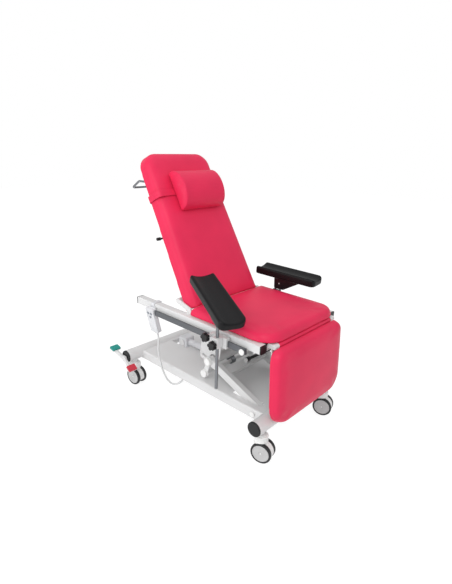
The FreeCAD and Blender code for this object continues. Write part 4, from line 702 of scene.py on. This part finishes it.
class CHAIR_OT_legrest(bpy.types.Operator):
    """Legrest cushion"""
    bl_idname = "chair.legrest"
    bl_label = "Legrest"

    foot_radius = 105.0
    top_radius = 56.0
    rear_edge = 6.0
    roll_room = 13.5          # radius kept free round the front roll's axis

    def execute(self, context):
        corners = [(-LEG_HALF, LEG_BOTTOM), (LEG_HALF, LEG_BOTTOM), (LEG_HALF, LEG_TOP),
                   (-LEG_HALF, LEG_TOP)]
        crown = sizes().leg_crown
        turn = Matrix((X_AXIS, Z_AXIS, -Y_AXIS)).transposed().to_4x4()
        hinge = place(0, *LEG_HINGE)
        tilt = (Matrix.Translation(hinge) @ Matrix.Rotation(math.radians(-LEG_TILT), 4, "X")
                @ Matrix.Translation(-hinge))
        stand = tilt @ Matrix.Translation(place(0, LEG_FRONT + LEG_THICK, 0)) @ turn
        radii = [self.foot_radius] * 2 + [self.top_radius] * 2
        foam = foam_block(corners, radii, LEG_THICK * MM - crown, sizes().leg_edge,
                          [sizes().leg_edge_depth] * 2, self.rear_edge)
        piece = cushion("legrest_upholstery", foam, crown, stand, "legrest", self.cup)
        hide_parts("legrest_cushion")
        return {"FINISHED"}

    def cup(self, foam):
        """Hollows the upper edge round the front roll, on whose axis the legrest turns."""
        axis = place(0, *LEG_HINGE)
        for vertex in foam.verts:
            away = Vector((0, vertex.co.y - axis.y, vertex.co.z - axis.z))
            short = self.roll_room * MM - away.length
            if short > 0:
                vertex.co += away.normalized() * short


class CHAIR_OT_pillow(bpy.types.Operator):
    """Head pillow, D-shaped in section with sewn end panels, and its strap"""
    bl_idname = "chair.pillow"
    bl_label = "Head pillow"

    low = 515.0               # lower edge, as a length up the back
    height = 220.0
    depth = 92.0
    half_length = 158.0
    centre = 12.0             # X of its middle
    gap = 3.1                 # off the back, for the strap
    fullness = 0.78           # power that swells the half-ellipse; 1 leaves it as it is
    rounds = 28               # facets of the D
    end_edge = 7.0            # roundness of the sewn ends
    grid = 4.0
    held_height = 5.0
    swell = 8.0
    smoothing = 3
    seam_reach = 5.0          # half width of the seam's groove
    seam_depth = 1.6

    strap_low = 608.0         # the band's edges, as lengths up the back
    strap_high = 644.0
    strap_rows = 4
    travel_down = 40.0        # the band still fits round the back that far down
    face_gap = 0.4            # off the back's face
    side_gap = 2.0
    rear_gap = 0.3            # off the back's rear edge
    board_thick = 12.0
    frame_depth = 25.0
    frame_gap = 0.5           # off the frame behind the board
    rear_half = 175.0         # half width where the band runs behind the frame
    face_radius = 30.0
    rear_radius = 10.0
    hem = 0.8

    def execute(self, context):
        self.make_roll()
        self.make_strap()
        return {"FINISHED"}

    def make_roll(self):
        """A D drawn as a half-ellipse made fuller, pushed along X, rounded at its sewn ends and
        blown up."""
        work = bmesh.new()
        points = []
        for i in range(self.rounds + 1):
            angle = math.pi * i / self.rounds
            reach = abs(math.sin(angle)) ** self.fullness
            points.append(work.verts.new((0, -math.cos(angle) * self.height / 2 * MM,
                                          reach * self.depth * MM)))
        work.faces.new(points)
        bmesh.ops.translate(work, verts=work.verts, vec=(-self.half_length * MM, 0, 0))
        push(work, (2 * self.half_length * MM, 0, 0))
        round_edges(work, end_edges(work), self.end_edge * MM, 3)
        mesh = remeshed(work, self.grid * MM)
        mesh = inflated(mesh, self.held_height * MM, self.swell * MM)
        corner = Vector((self.half_length, self.height / 2, 0)) * MM
        smooth = fitted(mesh, self.smoothing, -corner, corner + Vector((0, 0, self.depth * MM)))
        self.press_seams(smooth)
        stand = back_matrix() @ Matrix.Translation(
            Vector((self.centre, self.low + self.height / 2, self.gap)) * MM)
        bmesh.ops.transform(smooth, matrix=stand, verts=smooth.verts)
        piece = finish_piece("head_pillow_cover", smooth, "vinyl", "pillow")
        refined(piece)
        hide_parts("head_pillow")

    def press_seams(self, cover):
        """The seam of each end panel: a shallow groove where the end starts to round."""
        reach = self.seam_reach * MM
        for vertex in cover.verts:
            co = vertex.co
            beyond = abs(co.x) - (self.half_length - self.end_edge) * MM
            if abs(beyond) < reach and co.z > self.grid * MM:
                dent = self.seam_depth * MM * math.cos(beyond / reach * math.pi / 2) ** 2
                inward = Vector((0, -co.y, -co.z))
                co += inward.normalized() * dent

    def make_strap(self):
        """A closed band, drawn in X and depth, pushed up its width and given its thickness."""
        half = half_width(self.strap_low - self.travel_down) + self.side_gap
        board = -BACK_THICK - self.rear_gap
        rear = board - self.board_thick - self.frame_depth - self.frame_gap
        corners = [(half, self.face_gap), (-half, self.face_gap), (-half, board),
                   (-self.rear_half, rear), (self.rear_half, rear), (half, board)]
        work = outline(corners, [self.face_radius] * 2 + [self.rear_radius] * 4, 8)
        bmesh.ops.delete(work, geom=work.faces[:], context="FACES_ONLY")
        step = (self.strap_high - self.strap_low) / self.strap_rows * MM
        for row in range(self.strap_rows):
            pushed = bmesh.ops.extrude_edge_only(work, edges=edges_at(work, row * step))
            bmesh.ops.translate(work, verts=vertices_of(pushed), vec=(0, 0, step))
        bmesh.ops.recalc_face_normals(work, faces=work.faces)
        # From the band's X, depth and width to the back's X, height off its face and length.
        turn = Matrix((X_AXIS, Z_AXIS, Y_AXIS)).transposed().to_4x4()
        stand = back_matrix() @ Matrix.Translation((0, self.strap_low * MM, 0)) @ turn
        bmesh.ops.transform(work, matrix=stand, verts=work.verts)
        piece = finish_piece("pillow_strap_band", work, "vinyl", "pillow")
        wall = piece.modifiers.new("wall", "SOLIDIFY")
        wall.thickness = sizes().strap_thickness
        wall.offset = 1
        edge = piece.modifiers.new("hem", "BEVEL")
        edge.width = self.hem * MM
        edge.segments = 2
        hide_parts("pillow_strap")


class CHAIR_OT_arm_pads(bpy.types.Operator):
    """Gutter-shaped arm pads of skinned foam"""
    bl_idname = "chair.arm_pads"
    bl_label = "Arm pads"

    length = 386.0
    front_width = 132.0
    rear_width = 128.0
    height = 47.0
    front_radius = 30.0
    rear_radius = 8.0
    under_edge = 8.0          # roundness of the lower edge
    lip = 10.0                # how far the gutter stays off the pad's sides
    grid = 4.0
    quick_grid = 6.0
    smoothing = 3
    rise = 66.0               # middle of the pad above its tilt pin
    # Each side: X and Y of the post, height of the tilt pin, turn and tilt in degrees, and how
    # far the pad's middle stands before the post.
    poses = {"right": (-370.0, -286.0, 714.0, -21.75, 17.0, -39.0),
             "left": (370.0, -105.0, 675.0, 7.3, 2.6, 48.0)}

    def execute(self, context):
        for side, pose in self.poses.items():
            self.make_pad(side, pose)
        return {"FINISHED"}

    def make_pad(self, side, pose):
        x, y, z, turn, tilt, forward = pose
        half = self.length / 2
        corners = [(-self.front_width / 2, -half), (self.front_width / 2, -half),
                   (self.rear_width / 2, half), (-self.rear_width / 2, half)]
        top = self.height * MM
        work = outline(corners, [self.front_radius] * 2 + [self.rear_radius] * 2, 10)
        push(work, (0, 0, top))
        round_edges(work, edges_at(work, top), sizes().pad_edge, 5)
        round_edges(work, edges_at(work, 0), self.under_edge * MM, 4)
        mesh = remeshed(work, self.grid * MM)
        for vertex in mesh.vertices:
            co = vertex.co
            share = (co.y / MM + half) / self.length
            half_here = (self.front_width * (1 - share) + self.rear_width * share) / 2 * MM
            gutter = max(0.0, 1 - (co.x / (half_here - self.lip * MM)) ** 2)
            level = max(0.0, co.z / top) ** 2
            co.z -= sizes().pad_dish * gutter * level
        corner = Vector((self.front_width / 2, half, 0)) * MM
        smooth = fitted(mesh, self.smoothing, -corner, corner + Vector((0, 0, top)))
        stand = (Matrix.Translation(place(x, y, z))
                 @ Matrix.Rotation(math.radians(turn), 4, "Z")
                 @ Matrix.Rotation(math.radians(tilt), 4, "X")
                 @ Matrix.Translation(Vector((0, -forward, self.rise - self.height / 2)) * MM))
        bmesh.ops.transform(smooth, matrix=stand, verts=smooth.verts)
        piece = finish_piece("arm_pad_" + side, smooth, "foam", "pad_" + side)
        refined(piece)
        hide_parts("armrest_pad_" + side)


class CHAIR_OT_castors(bpy.types.Operator):
    """Castor wheels: a rounded tyre on a moulded disc, two wheels to a castor"""
    bl_idname = "chair.castors"
    bl_label = "Castor wheels"

    inner = 16.5              # inner face of a wheel from the castor's middle
    width = 19.0
    tread = 10.0              # thickness of the tyre
    bore = 4.1                # radius
    edge_radius = 0.6         # roundness of the sharp edges

    def execute(self, context):
        for joint in frame["joints"]:
            if joint["name"].startswith("wheel_roll_"):
                self.make_pair(joint)
        return {"FINISHED"}

    def spun(self, work, profile):
        """Turns a closed outline, given by places along the axle and radii, round the axle."""
        points = [work.verts.new((x * MM, 0, radius * MM)) for x, radius in profile]
        edges = [work.edges.new((points[i - 1], points[i])) for i in range(len(points))]
        bmesh.ops.spin(work, geom=points + edges, cent=(0, 0, 0), axis=(1, 0, 0),
                       angle=2 * math.pi, steps=64, use_merge=True)

    def make_pair(self, joint):
        name = joint["name"].rsplit("_", 1)[1]
        node = "castor_wheels_" + name
        low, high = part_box(node)
        radius = (high.z - low.z) / 2 / MM
        disc = radius - self.tread
        inner = self.inner
        outer = inner + self.width
        # Both outlines start at the inner face; the disc's has a hub, a hollow and a rim.
        tyre = [(inner, disc), (inner, radius - 5), (inner + 1.5, radius - 1.5), (inner + 5, radius),
                (outer - 5, radius), (outer - 1.5, radius - 1.5), (outer, radius - 5),
                (outer, disc + 1), (outer - 1, disc)]
        plate = [(inner, self.bore), (outer - 3.0, self.bore), (outer - 3.0, 9), (outer - 1.6, 10),
                 (outer - 1.6, 13), (outer - 2.8, 14.5), (outer - 2.8, disc - 6),
                 (outer - 1.2, disc - 4.5), (outer - 1.0, disc - 1.2), (outer - 2.2, disc),
                 (inner, disc)]
        turn = math.atan2(joint["axis"][1], joint["axis"][0])
        stand = Matrix.Translation(middle(node)) @ Matrix.Rotation(turn, 4, "Z")
        for title, profile, material in (("tyres_", tyre, "tyre"), ("discs_", plate, "hub")):
            work = bmesh.new()
            self.spun(work, profile)
            other = bmesh.ops.duplicate(work, geom=work.verts[:] + work.edges[:] + work.faces[:])
            bmesh.ops.rotate(work, verts=vertices_of(other), cent=(0, 0, 0),
                             matrix=Matrix.Rotation(math.pi, 3, "Z"))
            bmesh.ops.transform(work, matrix=stand, verts=work.verts)
            piece = finish_piece("castor_" + title + name, work, material, "wheels_" + name)
            edge = piece.modifiers.new("edge", "BEVEL")
            edge.width = self.edge_radius * MM
            edge.segments = 2
            edge.limit_method = "ANGLE"
            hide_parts(node)


class CHAIR_OT_fittings(bpy.types.Operator):
    """White caps on the stops of the accessory bars and on the lift's foot pins"""
    bl_idname = "chair.fittings"
    bl_label = "Fittings"

    # Each cap: X on the left side, Y and Z of its foot, radius, thickness and body.
    caps = {"bar_stop_cap_": (354.0, -424.0, 576.0, 15.0, 5.0, "seat_frame"),
            "foot_pin_cap_": (245.4, -420.0, 190.0, 14.6, 3.0, "base")}
    dome = 0.6                # roundness of the rim as a share of the thickness

    def execute(self, context):
        for side, name in ((-1, "right"), (1, "left")):
            for title, (x, y, z, radius, height, body) in self.caps.items():
                self.make_cap(title + name, place(side * x, y, z), side * X_AXIS, radius, height,
                              body)
        return {"FINISHED"}

    def make_cap(self, name, foot, along, radius, height, body):
        """A disc with a rounded rim, turned to face along."""
        work = bmesh.new()
        bmesh.ops.create_cone(work, cap_ends=True, segments=40, radius1=radius * MM,
                              radius2=radius * MM, depth=height * MM)
        round_edges(work, edges_at(work, height / 2 * MM), height * self.dome * MM, 5)
        turn = along.to_track_quat("Z", "Y").to_matrix().to_4x4()
        stand = Matrix.Translation(foot + along * (height / 2 * MM)) @ turn
        bmesh.ops.transform(work, matrix=stand, verts=work.verts)
        piece = finish_piece(name, work, "white", body)


FINISHES = {
    "powder": ("base_tubes", "base_tray", "base_pivot_lugs", "lift_arms", "arm_cross_members",
               "side_rails", "frame_cross_members", "lift_head_plates", "backrest_frame",
               "legrest_frame", "brake_pedal", "parallel_links", "actuator_crank",
               "armrest_clamp_left", "armrest_clamp_right", "post_head_left", "post_head_right"),
    "white": ("castor_housing_fl", "castor_housing_fr", "castor_housing_rl", "castor_housing_rr",
              "arm_hub_caps"),
    "shell": ("actuator_body", "control_box", "handset_shell"),
    "keys": ("handset_button_1", "handset_button_2", "handset_button_3"),
    "black": ("tube_end_caps", "rail_end_caps", "rail_knob_left", "rail_knob_right",
              "post_knob_left", "post_knob_right", "recline_lever", "seat_board"),
    "enamel": ("assist_spring_tube", "armrest_bracket_left", "armrest_bracket_right"),
    "steel": ("accessory_bars",),
    "plating": ("armrest_post_left", "armrest_post_right", "roll_holder", "assist_spring_rod",
                "actuator_ram"),
    "pedal": ("brake_pads",),
}


class CHAIR_OT_finishes(bpy.types.Operator):
    """Gives each carried-over piece of the frame its finish"""
    bl_idname = "chair.finishes"
    bl_label = "Finishes"

    def execute(self, context):
        for finish, nodes in FINISHES.items():
            for node in nodes:
                mesh = frame["nodes"][node].data
                mesh.materials.clear()
                mesh.materials.append(MATERIALS[finish])
        return {"FINISHED"}


class CHAIR_OT_stage(bpy.types.Operator):
    """Pale floor, soft lamps, white surroundings and the camera"""
    bl_idname = "chair.stage"
    bl_label = "Stage"

    # The camera fitted to the photograph, with its angles in degrees
    camera_place = (-1722.22, -1558.77, 1472.32)
    azimuth = -47.77
    elevation = 18.95
    roll = 1.83
    focal_pixels = 434.32
    frame_height_pixels = 584
    sensor = 36.0             # millimetres, along the picture's longer side
    # Place and aim of each softbox in millimetres, width and height in metres, and watts
    softboxes = {"key": ((-2600, -1500, 2900), (0, 0, 700), 2.2, 2.2, 52),
                 "side": ((-2900, 900, 1500), (0, 100, 800), 1.4, 2.4, 22),
                 "top": ((300, 200, 3600), (0, 0, 500), 2.6, 2.6, 12)}
    floor_half = 12.0         # metres
    floor_glow = 1.2
    floor_glow_share = 0.75   # the rest shows the object's shadow
    surroundings = 0.62       # strength of the white light from all round

    def execute(self, context):
        self.make_camera(context.scene)
        self.make_floor()
        self.make_world(context.scene)
        for name, (where, aim, width, height, power) in self.softboxes.items():
            lamp = bpy.data.lights.new(name, "AREA")
            lamp.shape = "RECTANGLE"
            lamp.size = width
            lamp.size_y = height
            lamp.energy = power
            holder = bpy.data.objects.new(name, lamp)
            context.scene.collection.objects.link(holder)
            start = place(*where)
            holder.location = start
            holder.rotation_euler = (place(*aim) - start).to_track_quat("-Z", "Y").to_euler()
        context.scene.view_settings.view_transform = "Standard"
        return {"FINISHED"}

    def make_camera(self, scene):
        data = bpy.data.cameras.new("camera")
        data.sensor_width = self.sensor
        data.lens = self.focal_pixels * self.sensor / self.frame_height_pixels
        camera = bpy.data.objects.new("camera", data)
        scene.collection.objects.link(camera)
        a, e, r = (math.radians(v) for v in (self.azimuth, self.elevation, self.roll))
        back = Vector((math.sin(a) * math.cos(e), -math.cos(a) * math.cos(e), math.sin(e)))
        right = (-back).cross(Z_AXIS).normalized()
        up = right.cross(-back)
        rolled_right = right * math.cos(r) + up * math.sin(r)
        rolled_up = up * math.cos(r) - right * math.sin(r)
        turn = Matrix((rolled_right, rolled_up, back)).transposed().to_4x4()
        camera.matrix_world = Matrix.Translation(place(*self.camera_place)) @ turn
        scene.camera = camera

    def make_floor(self):
        """A matt floor that the camera sees as nearly white, with the object's shadow."""
        work = bmesh.new()
        bmesh.ops.create_grid(work, x_segments=1, y_segments=1, size=self.floor_half)
        mesh = bpy.data.meshes.new("floor")
        work.to_mesh(mesh)
        work.free()
        floor = bpy.data.objects.new("floor", mesh)
        bpy.context.scene.collection.objects.link(floor)
        material, tree, shader = new_material("studio_floor", Base_Color=linear("F2F2F3"),
                                              Roughness=0.8)
        path = add(tree, "ShaderNodeLightPath")
        seen = add(tree, "ShaderNodeMath", {0: path.outputs["Is Camera Ray"],
                                            1: path.outputs["Is Glossy Ray"]}, operation="MAXIMUM")
        seen = add(tree, "ShaderNodeMath", {0: seen.outputs[0],
                                            1: path.outputs["Is Transmission Ray"]},
                   operation="MAXIMUM")
        share = add(tree, "ShaderNodeMath", {0: seen.outputs[0], 1: self.floor_glow_share},
                    operation="MULTIPLY")
        glow = add(tree, "ShaderNodeEmission", {"Color": (1, 1, 1, 1),
                                                "Strength": self.floor_glow})
        mix = add(tree, "ShaderNodeMixShader", {0: share.outputs[0], 1: shader.outputs[0],
                                                2: glow.outputs[0]})
        tree.links.new(mix.outputs[0], tree.nodes["Material Output"].inputs["Surface"])
        mesh.materials.append(material)

    def make_world(self, scene):
        """White surroundings, weaker on the object than the camera sees them."""
        world = bpy.data.worlds.new("studio")
        scene.world = world
        world.use_nodes = True
        tree = world.node_tree
        lit = tree.nodes["Background"]
        lit.inputs["Color"].default_value = (1, 1, 1, 1)
        lit.inputs["Strength"].default_value = self.surroundings
        white = add(tree, "ShaderNodeBackground", {"Color": (1, 1, 1, 1), "Strength": 1.0})
        path = add(tree, "ShaderNodeLightPath")
        seen = add(tree, "ShaderNodeMath", {0: path.outputs["Is Camera Ray"],
                                            1: path.outputs["Is Transmission Ray"]},
                   operation="MAXIMUM")
        mix = add(tree, "ShaderNodeMixShader", {0: seen.outputs[0], 1: lit.outputs[0],
                                                2: white.outputs[0]})
        tree.links.new(mix.outputs[0], tree.nodes["World Output"].inputs["Surface"])


PIECES = (CHAIR_OT_stage, CHAIR_OT_lead, CHAIR_OT_finishes, CHAIR_OT_seat, CHAIR_OT_backrest,
          CHAIR_OT_legrest, CHAIR_OT_pillow, CHAIR_OT_arm_pads, CHAIR_OT_castors,
          CHAIR_OT_fittings)


class CHAIR_PT_panel(bpy.types.Panel):
    """Lists the chair's pieces"""
    bl_idname = "CHAIR_PT_panel"
    bl_label = "Phlebotomy chair"
    bl_space_type = "VIEW_3D"
    bl_region_type = "UI"
    bl_category = "Chair"

    def draw(self, context):
        for piece in PIECES:
            self.layout.operator(piece.bl_idname)
        for group in (context.scene.chair_sizes, context.scene.chair_colours):
            for name in group.__annotations__:
                self.layout.prop(group, name)


CLASSES = (ChairSizes, ChairColours) + PIECES + (CHAIR_PT_panel,)


def register():
    for cls in CLASSES:
        bpy.utils.register_class(cls)
    bpy.types.Scene.chair_sizes = PointerProperty(type=ChairSizes)
    bpy.types.Scene.chair_colours = PointerProperty(type=ChairColours)


def unregister():
    del bpy.types.Scene.chair_colours
    del bpy.types.Scene.chair_sizes
    for cls in reversed(CLASSES):
        bpy.utils.unregister_class(cls)


def main():
    register()
    make_materials()
    for piece in PIECES:
        group, name = piece.bl_idname.split(".")
        getattr(getattr(bpy.ops, group), name)()


if __name__ == "__main__":
    main()
